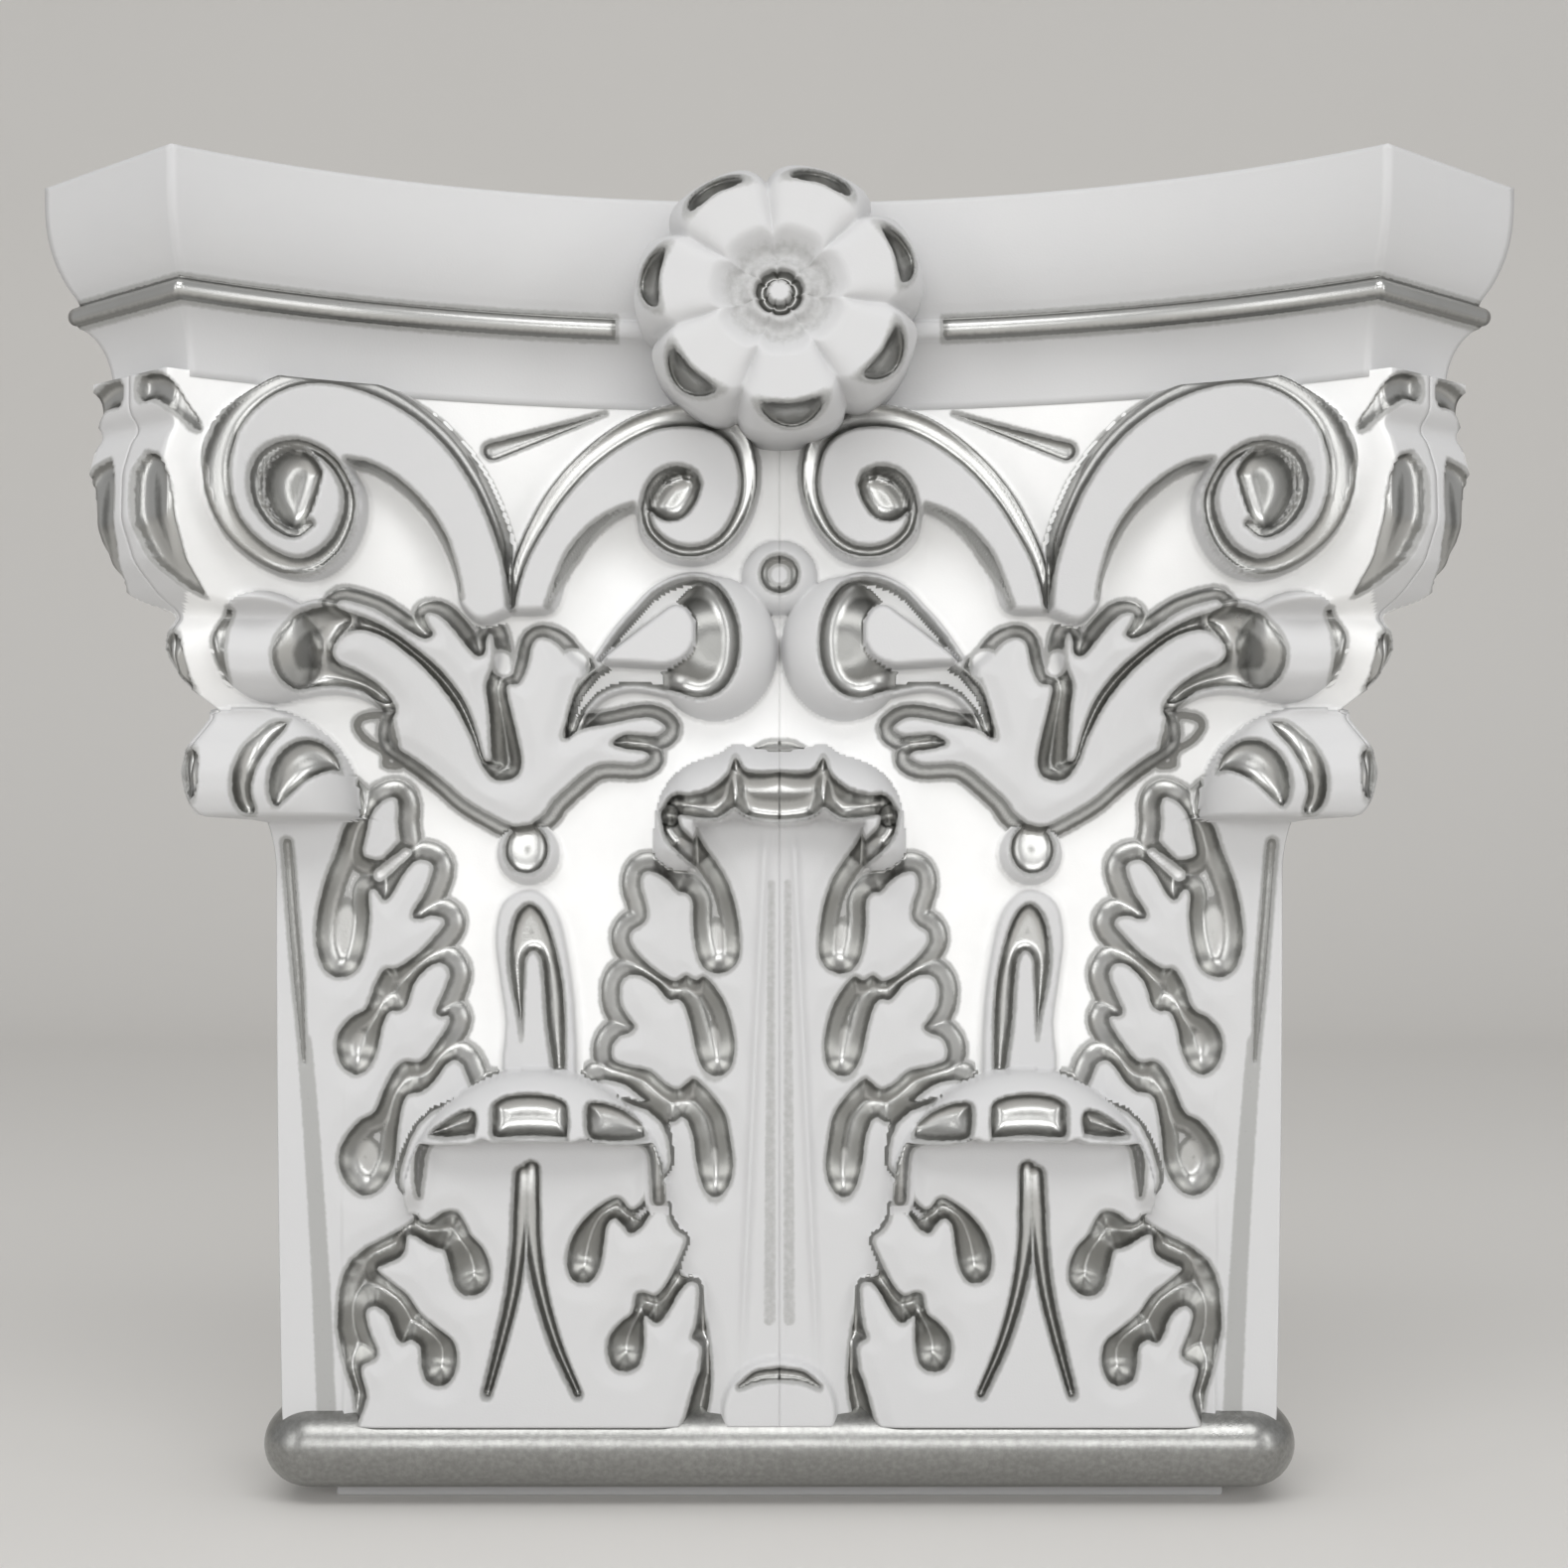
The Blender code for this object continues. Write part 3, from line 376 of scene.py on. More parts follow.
@dataclass(frozen=True)
class LowerLeaf:
    """One of the two leaves in front: face, lobes, a forked slot and a curled tip."""

    axis: float = 49.2
    edge: LeafEdge = field(default_factory=lambda: LeafEdge(6.4, 4.8, 0.6))
    hood_height: float = 9.5
    hood_size: Point = (26.4, 26.0)
    hood_up: float = 62.5
    lip: float = 74.8
    pits: tuple[Oval, ...] = (((39.6, 50.8), 3.0, 4.6), ((31.4, 33), 2.6, 4.2),
                              ((62.4, 49), 2.6, 4.6), ((69, 30), 2.4, 4.2))
    face: Outline = (
        (49, 12), (24.5, 12), (17.6, 26), (16.6, 29.5), (16.4, 33), (18.3, 34.5), (17.6, 37),
        (17.0, 41), (17.0, 45.0), (18.6, 45.6), (20.4, 43.8), (22.2, 40.6), (24.0, 38.0),
        (25.6, 37.4), (27.4, 38.8), (27.5, 36), (27.6, 32.5), (28.6, 29), (31, 27.6),
        (33.8, 28.4), (35.2, 31.4), (34.8, 35), (32.4, 38.0), (30.2, 39.8), (29.4, 43.4),
        (27.6, 44.0), (25.4, 43.4), (23.2, 45.8), (20.8, 50.6), (19.4, 54.4), (21.2, 56.0),
        (22.6, 58.2), (23.2, 61.2), (24.6, 61.6), (26.4, 59.2), (28.4, 56.4), (30.6, 55.4),
        (32.0, 57.0), (33.6, 58.4), (35.0, 57.0), (35.6, 53), (36.3, 49), (38, 46),
        (40.4, 45.4), (42.6, 46.8), (43.4, 50.4), (42.2, 55.0), (39.4, 59), (35.6, 62),
        (32.6, 63), (30.2, 60.6), (27.6, 62.6), (26.2, 66), (22.5, 70), (27, 80), (49, 84),
        (70, 80), (76.4, 68), (75.2, 63), (74, 60.8), (71.6, 58.0), (68.1, 60), (65.3, 60.2),
        (63.6, 58), (62.3, 55.4), (60, 52.9), (58.5, 49.3), (58.6, 45.6), (60.8, 43.2),
        (63.8, 43), (65.8, 44.9), (66.8, 48.3), (67.8, 51.9), (70, 52.6), (73.1, 54.5),
        (75.0, 55.0), (75.5, 52), (76.9, 50.4), (80, 49), (80.9, 48.2), (78.1, 45.8),
        (75, 43.3), (72.4, 39.6), (68.8, 36.6), (65.7, 33.9), (65, 29.5), (66.4, 25.9),
        (68.8, 24.7), (71.5, 25.9), (72.5, 28.9), (72.8, 32.6), (74.4, 34), (76.3, 33.4),
        (77.8, 35.2), (79.2, 38.9), (81.7, 40.8), (83.3, 39.5), (82.5, 35.8), (81, 32),
        (81.7, 30.2), (84.2, 28.7), (83.8, 25.8), (83.1, 22.6), (83, 12))
    cells: tuple[Outline, ...] = (
        ((42.2, 75.4), (42.0, 79), (42.6, 82.4), (45.5, 83.9), (50, 84.4), (54.6, 83.9),
         (57.4, 82.2), (57.6, 79), (56.8, 75.6), (50, 75.9)),
        ((27.0, 74.8), (27.8, 77.6), (31.2, 80.6), (35.4, 82.4), (38.6, 82.4), (39.0, 79.2),
         (38.0, 75.4), (33, 74.6)),
        ((60.6, 76.2), (60.2, 79), (61.0, 81), (63.6, 80.8), (67.2, 78.6), (70.4, 75.8),
         (66, 75.4)))

    def layer(self, spot: Spot) -> Layer:
        """The whole leaf."""
        leaf = self.edge.layer(bounded(spot, self.face))
        slot = np.minimum(
            stroke(spot, ((50.4, 68.4), (50.4, 60), (50.0, 53), (48.2, 43), (45.2, 33),
                          (41.0, 23.4)), (1.9, 2.1, 1.9, 1.6, 1.4, 1.1)),
            stroke(spot, ((52.0, 67.4), (52.2, 60), (52.8, 53), (54.2, 43), (56.6, 33),
                          (59.2, 23.4)), (1.9, 2.1, 1.8, 1.6, 1.4, 1.1)))
        leaf = leaf.scooped(slot, 1.9, 3.0)
        leaf = leaf.painted(ovals(spot, self.pits))
        across = spot.out - self.axis
        half = np.abs(across)
        hood = oval(spot, (self.axis, self.hood_up), *self.hood_size)
        swell = domed(hood, 12.0, self.hood_height)
        cells = nearest(spot, self.cells)
        rim = np.minimum(stroke(spot, ((27.4, 75), (25.4, 72.4), (24.8, 67), (24.6, 62.6)),
                                (1.8, 1.5, 1.5)),
                         stroke(spot, ((70.2, 75.6), (72.2, 72), (72.6, 67), (72.6, 63.4)),
                                (1.2, 1.1, 0.5)))
        top = bare(swell).scooped(cells, 3.6, 5.0)
        lip = self.lip - 0.05 * half + 0.8 * np.exp(-((half - 10) / 1.5) ** 2)
        above = ramp(spot.up, lip - 0.7, lip + 0.7)
        wings = 3.6 * ramp(half, 21.6, 24.6) * ramp(spot.up, 59, 66)
        shown = (hood < 0) & ((above > 0.02) | (wings > 0.05))
        body = self.edge.height + np.maximum(top.height * above, wings)
        over = Layer(np.where(shown, body, 0.0), np.where(above > 0.02, top.paint, UNPAINTED))
        tails = (hood < 0) & (above < 0.9) & (spot.up > 61)
        over.paint = np.maximum(over.paint, np.where(tails, 0.2 - rim, UNPAINTED))
        leaf.height = leaf.height - 0.9 * ramp(-hood, 0.0, 3.0) * ramp(spot.up, 62, 73)
        leaf.paint = np.maximum(leaf.paint, np.where(tails, 0.2 - rim, UNPAINTED))
        return over.over(leaf)


@dataclass(frozen=True)
class CornerLeaf:
    """The leaf that wraps the corner, with a ribbed, curled tip on the diagonal."""

    edge: LeafEdge = field(default_factory=LeafEdge)
    tip: Point = (104.5, 141.5)
    tip_radius: float = 19.4
    tip_height: float = 14.5
    lip: float = 138.0
    pits: tuple[Oval, ...] = (((88.6, 116), 3.6, 7.6), ((86, 93), 3.2, 4.4),
                              ((84.6, 70.2), 3.8, 5.0))
    face: Outline = (
        (140, 12), (140, 80), (140, 150), (96, 146), (86.1, 141.2), (88.3, 137.4), (89.9, 132.7),
        (92.4, 126.3), (94, 119.1), (94, 112.7), (92.2, 108.1), (89, 106.6), (85.4, 108.4),
        (83.6, 113.4), (82.9, 119.1), (83.1, 123.5), (82.1, 124.4), (80.4, 122.2), (78.6, 123.4),
        (76.1, 127.7), (73.6, 130.2), (71.1, 129.9), (70.7, 128.2), (72.2, 124.1), (74.4, 120.6),
        (74.6, 118.8), (72.9, 118.4), (70.8, 119.1), (68.6, 118.6), (68.4, 117.4), (70.1, 115.4),
        (73.3, 112), (77.6, 109.1), (80.2, 108.8), (82.2, 105.6), (84, 100.9), (86.9, 99.1),
        (89.4, 96.3), (90.1, 92.7), (89, 89.1), (86.1, 87), (83.3, 88.4), (81.5, 92),
        (80.4, 97), (79, 99.8), (77.2, 99.9), (75.4, 101.3), (74, 105.6), (71.1, 108.8),
        (68.6, 109.5), (67.2, 107.7), (68.3, 104.1), (70, 100.2), (69, 98.8), (67.3, 98.8),
        (67.7, 97), (70.1, 93.4), (72.9, 90.2), (76.1, 90.2), (78.3, 88.4), (80.4, 84.4),
        (82.4, 79.9), (85.4, 78.1), (88.6, 74.1), (89.7, 69.9), (88.3, 65.6), (84.7, 62.7),
        (80.8, 64.1), (78, 69.1), (77.2, 76.3), (75.8, 82.5), (72.6, 83.6), (70.1, 85.6),
        (67.6, 89.1), (65.6, 89.9), (64, 87.7), (63, 80), (72, 60), (87, 50), (90, 36), (89, 12))
    leaflet: Outline = (
        (77.2, 134.5), (77.6, 138), (77.4, 141.4), (78.2, 143), (80.8, 141.8), (82.7, 139.1),
        (83.6, 135.6), (84.3, 132), (82.6, 131), (80.8, 131), (79.4, 132.2))
    cells: tuple[Outline, ...] = (
        ((87.2, 147.7), (88.5, 151.5), (91.5, 154.2), (95, 154.4), (98.3, 152), (100.3, 148),
         (100.6, 143.5), (99.3, 140.8), (96.5, 143), (93, 146.2), (89.5, 148)),
        ((96.9, 158.3), (100.5, 158), (104, 155), (106.6, 151), (107.8, 146), (107.2, 141.2),
         (104.8, 139.2), (103, 140.4), (103.6, 144), (102.7, 148), (100.3, 152.5), (97.7, 156)))

    def layer(self, spot: Spot) -> Layer:
        """The whole leaf, its top leaflet left bare where it runs up behind the face."""
        leaf = self.edge.layer(nearest(spot, (self.face, self.leaflet)))
        unpainted = bar(spot, (81.5, 127.6), (76.0, 132.0), 0.9, 0.6)
        leaf.paint = np.minimum(leaf.paint, unpainted)
        leaf = leaf.painted(ovals(spot, self.pits))
        stripe = stroke(spot, ((99.6, 134.0), (98.4, 118), (97.4, 106), (96.3, 90)),
                        (1.25, 1.3, 1.3, 0.7))
        faint = stroke(spot, ((96.2, 94), (94.8, 76), (93.2, 50), (91.9, 20)), (1.1, 1.5))
        leaf = leaf.scooped(stripe, 1.3, 0.7)
        leaf.paint = np.maximum(leaf.paint, np.minimum(0.2 - faint, 0.25))
        reach = np.hypot(spot.out - self.tip[0], spot.up - self.tip[1]) - self.tip_radius
        swell = self.edge.height + domed(reach, 17.0, self.tip_height)
        above = ramp(spot.up, self.lip, self.lip + 1.6)
        top = bare(swell * (reach < 0) * above)
        cells = nearest(spot, self.cells)
        scooped = top.scooped(cells, 3.2, 5.2)
        paint = np.where((reach < 0) & (above > 0.02), scooped.paint, UNPAINTED)
        return Layer(scooped.height, paint).over(leaf)


@dataclass(frozen=True)
class Stalk:
    """The stem that rises behind a lower leaf, with its hollow, and the pearl on it."""

    edge: LeafEdge = field(default_factory=lambda: LeafEdge(3.4, 1.6, 0.4, False))
    pearl: Point = (51.3, 131.8)
    pearl_radius: float = 6.6
    stem: Outline = (
        (42.0, 86), (42.2, 98), (43.2, 108), (45.2, 118), (48, 122.6), (51.5, 124), (56.0, 121.6),
        (57.4, 115), (56.6, 107), (55.4, 98), (55.0, 86))
    drop: Outline = (
        (43.6, 87), (43.6, 97), (44.2, 106), (46, 114.4), (48.2, 119.9), (51, 122), (53.6, 120),
        (55, 115.7), (55.4, 110), (54.6, 104.3), (53.5, 99.3), (52.6, 94.0), (52.2, 98),
        (51.8, 107), (51.5, 110.6), (50.1, 111.9), (48.8, 110), (48.2, 104), (47.8, 98), (47, 92),
        (46.0, 87))

    def layer(self, spot: Spot) -> Layer:
        """The stem, its drop-shaped hollow with a tongue in it, and the dimpled pearl."""
        stem = bounded(spot, self.stem)
        drop = bounded(spot, self.drop)
        layer = self.edge.layer(stem).scooped(drop, 2.4, 3.0)
        ball = oval(spot, self.pearl, self.pearl_radius, self.pearl_radius)
        dimple = oval(spot, (self.pearl[0] + 0.2, self.pearl[1] + 0.9), 4.6, 5.2)
        return bare(domed(ball, 6.5, 6.5)).scooped(dimple, 4.6, 4.6).over(layer)


@dataclass(frozen=True)
class Calyx:
    """The sheath of three leaves that the scrolls grow from, with its two curled tips."""

    edge: LeafEdge = field(default_factory=lambda: LeafEdge(4.6, 3.3, 0.8))
    outer_curl: Oval = ((100.4, 172.2), 10.4, 10.8)
    inner_curl: Oval = ((13.6, 173.6), 13.4, 15.0)
    centre: Outline = (
        (50.5, 138), (47.8, 140.2), (46.2, 142.6), (42.6, 146), (38.7, 149.2), (35.2, 150.2),
        (29.8, 150), (27.2, 151), (27.6, 152.2), (31.4, 152.8), (34.6, 154), (32, 156),
        (28.6, 156), (25.4, 155.9), (23.7, 157.3), (26, 159), (29.4, 159), (34.8, 157.8),
        (40, 156.8), (44.4, 154.8), (43.4, 159.6), (42, 164.6), (40.6, 168.6), (42.7, 170.8),
        (45.3, 174), (48, 175.2), (50, 174), (51, 169.5), (52.7, 166), (55, 165.4), (54.6, 162),
        (53, 155.3), (52.2, 150.4), (53.3, 147.3), (56.6, 146.3), (59, 147.4), (61.2, 151.2),
        (62.3, 154.6), (65.9, 161.7), (70.9, 168.1), (76.6, 173.1), (80.1, 175.1), (83.4, 175.8),
        (86.6, 174.6), (88.3, 171.7), (87.2, 169.7), (83.7, 168), (80.1, 165.6), (77.4, 162.6),
        (76.8, 160.3), (77.8, 158), (78.2, 154.8), (76.6, 153), (73, 150.6), (68, 146.6),
        (63.7, 142.8), (58, 139.4), (54, 137.6))
    upper: Outline = (
        (58.6, 150.8), (59.0, 160), (59.6, 165.5), (58.4, 169), (57.8, 172.6), (58.3, 175.8),
        (59.0, 174.6), (59.4, 171.8), (61.2, 171.2), (63.0, 173), (65.6, 176.4), (68.4, 179.2),
        (70.6, 179.4), (70.4, 177.6), (69.2, 175.6), (71, 174.4), (74.4, 176), (78, 178.6),
        (80.9, 180.2), (85.9, 181.5), (86.7, 180.2), (82.3, 178.7), (78, 176.7), (73.7, 173.7),
        (68, 168.7), (63.7, 162.9), (61.4, 157.2), (59.8, 151.2))
    notch: Outline = (
        (77.5, 160.3), (82, 160.7), (85.4, 159.6), (86.3, 157), (84.4, 154), (81.2, 151.8),
        (81.0, 149.4), (78.7, 148.5), (76, 150))
    tongue: Outline = (
        (17.3, 178.6), (19.2, 181.5), (22, 182.2), (25.3, 180), (30, 176.3), (36.2, 170.8),
        (32, 170.0), (26.7, 169.7), (22.7, 169.7), (19.3, 171.3), (17.4, 174.4))
    inner_mouth: Outline = (
        (37.3, 170.6), (33.3, 176.6), (29.3, 181.3), (25.3, 185.3), (20, 187.7), (15.5, 187.7),
        (12, 185.6), (9, 180.5), (7.9, 174.5), (8.9, 168.5), (12, 164.3), (16.7, 162.9),
        (22, 164.4), (28.7, 165.8), (33.3, 165.4), (37.3, 163.4), (40, 160.0), (41.6, 156.6),
        (43.6, 154.8), (43, 160), (41.2, 164.5), (38.3, 168), (35.4, 170.2))
    outer_mouth: Outline = (
        (77.4, 161.9), (79.4, 161.9), (83.7, 164.0), (88, 164.8), (92.3, 164.5), (96, 164),
        (98.6, 167), (99.2, 171.7), (97.4, 176), (93.8, 179.4), (89, 180.6), (84.5, 178.4),
        (86.6, 175.2), (88.6, 171.7), (87.2, 169.4), (83.7, 167.8), (80.1, 165.4))

    def layer(self, spot: Spot) -> Layer:
        """The leaves with their long vein, and the two curls with their mouths."""
        leaf = self.edge.layer(nearest(spot, (self.centre, self.upper)))
        unpainted = np.minimum(bar(spot, (42.0, 170.5), (41.4, 169.0), 2.6, 2.0),
                               bar(spot, (56.4, 171.0), (56.2, 169.4), 1.6, 1.6))
        leaf.paint = np.minimum(leaf.paint, unpainted)
        notch = bounded(spot, self.notch)
        leaf.paint = np.maximum(leaf.paint, np.minimum(0.1 - notch, 2.2 + notch))
        outer, inner = oval(spot, *self.outer_curl), oval(spot, *self.inner_curl)
        curls = bare(domed(outer, 9.0, 12.0)).over(bare(domed(inner, 11.0, 13.0)))
        crescent = stroke(spot, ((107.3, 179.2), (109.4, 173.4), (108.4, 165.8)),
                          (0.8, 1.7, 0.9))
        curls = curls.scooped(crescent, 1.6, 1.2)
        tongue = bounded(spot, self.tongue)
        inner_mouth = bounded(spot, self.inner_mouth)
        outer_mouth = bounded(spot, self.outer_mouth)
        hollow = np.minimum(inner_mouth, outer_mouth)
        web = 4.8 * ramp(-hollow, -2.0, -0.5)
        carved = curls.over(leaf)
        carved.height = np.maximum(carved.height, web)
        carved = carved.scooped(outer_mouth, 3.6, 4.4).scooped(inner_mouth, 4.2, 7.0)
        carved.paint = np.where(tongue < 0, UNPAINTED, carved.paint)
        return bare(raised(tongue, 8.5, 1.6)).over(carved)


@dataclass(frozen=True)
class Volute:
    """One scroll: a strap that leaves the sheath and winds into an eye."""

    body: Outline
    line: Outline
    widths: tuple[float, ...]
    pit: Outline
    rise: float = 8.5

    def layer(self, spot: Spot) -> Layer:
        """The strap and its disc, the silver line that winds on it, and the eye's pit."""
        height = raised(bounded(spot, self.body), self.rise, 1.6)
        groove = stroke(spot, self.line, self.widths, 5)
        layer = bare(height).scooped(groove, 1.8, 2.2)
        return layer.scooped(bounded(spot, self.pit), 3.6, 5.5)


@dataclass(frozen=True)
class Scrolls:
    """The outer and the inner scroll, the boss between a pair and the slanting cuts."""

    boss: Oval = ((0.0, 188.2), 8.2, 8.0)
    boss_pit: Oval = ((0.0, 188.6), 4.2, 4.2)
    outer: Volute = Volute(
        ((54.6, 180), (54.4, 188), (55.0, 195), (57.0, 201.4), (60.0, 207.8), (64.6, 214.4),
         (70.3, 219.6), (76.6, 223.4), (83, 225.4), (89.6, 226), (96, 224.6), (101.4, 221.0),
         (106.2, 216), (109, 210.5), (109.6, 205), (108.8, 198.8), (106.0, 192.6),
         (101, 187.8), (95.1, 185.4), (89.6, 186.2), (85, 190.2), (82.2, 196.4),
         (82.0, 202.4), (84.2, 207.6), (80.2, 207.2), (75.4, 204.0), (70.6, 199), (67.2, 193.4),
         (65.0, 187), (64.0, 181.6), (60, 178)),
        ((53.9, 181.5), (54.3, 188), (55.5, 194), (57.4, 199.8), (60.2, 206), (64.5, 212.4),
         (70.1, 217.9), (76.6, 221.8), (83, 223.9), (89.4, 224.4), (95.1, 222.9), (100.1, 219.4),
         (103.9, 214.6), (105.9, 209.6), (106.8, 204.4), (106.3, 199.2), (104.2, 193.9),
         (100.1, 189.7), (95.1, 187.5), (90.9, 188.1), (86.8, 191.6), (84.5, 196.7),
         (84.1, 201.7), (86.1, 206.5), (89.4, 209.6), (93.7, 210.6), (98, 208.6), (100, 204.6),
         (99.8, 199.6), (97.4, 195.4), (93.9, 193.5), (91, 195.6)),
        (0.9, 1.6, 1.9, 1.9, 1.9, 2.0, 2.2, 2.7, 2.4, 1.7, 1.4, 1.2, 1.2, 1.3, 1.3, 1.0),
        ((88.6, 205.8), (90.5, 208.9), (93.7, 210.0), (97, 208.3), (99, 204.5), (98.8, 200),
         (96.8, 196.1), (93.9, 194.2), (91.2, 196.8), (89.7, 201)))
    inner: Volute = Volute(
        ((54.4, 180), (54.4, 188), (53, 193.2), (50.8, 198.4), (47.6, 204.4), (43, 210.4),
         (37.4, 215.8), (31.6, 219.8), (25.6, 222.3), (20, 223.3), (14.4, 223), (9.2, 220.6),
         (5.6, 216.2), (4.2, 210), (4.6, 204.4), (6.4, 199.4), (9.6, 194.8), (14, 191.6),
         (19.3, 190.8), (24.6, 192.2), (28.4, 196), (29.8, 201.4), (34, 199.6), (38, 196.6),
         (41.2, 192.6), (43.8, 188), (46.4, 181)),
        ((53.9, 181.5), (53.4, 186), (52.0, 191.3), (49.3, 197.3), (45.8, 203.3), (41.1, 209.2),
         (35.8, 213.9), (30.5, 217.3), (25.3, 219.5), (20, 220.4), (14.7, 220.0), (10.2, 217.9),
         (7.4, 214.4), (6.3, 210), (6.5, 205.3), (8, 200.8), (11, 196.2), (14.8, 193.6),
         (19.3, 192.9), (23.3, 194.1), (26.4, 197), (27.5, 200.7), (26.7, 204.7),
         (24.6, 207.8), (21.3, 209.3), (18.7, 209.0)),
        (1.0, 1.6, 2.2, 2.4, 2.4, 2.3, 2.6, 2.7, 2.5, 1.9, 1.5, 1.3, 1.3, 1.2, 1.3, 1.4, 1.0),
        ((16.0, 206.7), (17.3, 209.3), (20, 209.7), (23.4, 208.6), (26.2, 205), (27.0, 201.6),
         (24.9, 199.4), (22.3, 198.8), (19.3, 200), (17, 203.3)))

    def layer(self, spot: Spot) -> Layer:
        """All of them."""
        pair = self.outer.layer(spot).over(self.inner.layer(spot))
        ball, pit = oval(spot, *self.boss), oval(spot, *self.boss_pit)
        boss = bare(domed(ball, 7.0, 7.0)).scooped(pit, 4.0, 3.0)
        boss.paint = np.minimum(boss.paint, 2.3 + pit)
        return boss.over(pair)

    def cuts(self, spot: Spot) -> Array:
        """Distance to what is cut into the bell behind the scrolls: ribs, slashes and pits."""
        ribs = np.minimum(
            stroke(spot, ((84.4, 208.4), (80.1, 207.6), (75.1, 204.6), (70.1, 199.6),
                          (66.7, 193.9), (64.5, 187.4), (63.4, 182.6)),
                   (0.6, 1.0, 1.0, 0.4)),
            stroke(spot, ((29.9, 202.2), (34, 200.3), (38, 197.3), (41.3, 193.3),
                          (44, 188.7), (47, 181.6)), (0.4, 0.8, 1.1, 0.4)))
        slash = bar(spot, (58.4, 213.0), (36.0, 221.6), 2.1, 0.5)
        crown = bounded(spot, ((0, 216.2), (2.2, 218.2), (4.2, 221.4), (0, 222.2), (-4.2, 221.4),
                               (-2.2, 218.2)))
        crown = np.minimum(crown, oval(spot, (11.8, 221.6), 3.0, 1.6))
        return np.minimum.reduce([ribs, slash, crown])


@dataclass(frozen=True)
class CornerEnd:
    """The end of the corner scrolls: a small curl over a long drop, both silver."""

    depth: float = 3.2
    buds: tuple[Oval, ...] = (((0.0, 169.5), 3.4, 5.6), ((0.0, 147.5), 3.0, 5.0))
    curl: Outline = ((-13.5, 212.2), (-12.6, 217), (-10, 221.4), (-6, 223.4),
                               (-2.2, 223), (-2.2, 218.6), (-6, 218.2), (-9, 216), (-11.6, 213))
    drop: Outline = ((-4.5, 208.5), (-8.5, 207), (-10.6, 203), (-11.4, 196),
                               (-10.8, 188), (-9.2, 181.5), (-6.6, 184), (-4.2, 188.5),
                               (-2.8, 194), (-2.2, 200), (-2.6, 205))

    def hollows(self, spot: Spot) -> Array:
        """Distance to the four hollows, from the top curl down to the leaf's own.

        Args:
            spot: Where to measure; out is counted from the corner's edge.

        Returns:
            The distances.
        """
        return np.minimum(nearest(spot, (self.curl, self.drop)), ovals(spot, self.buds))


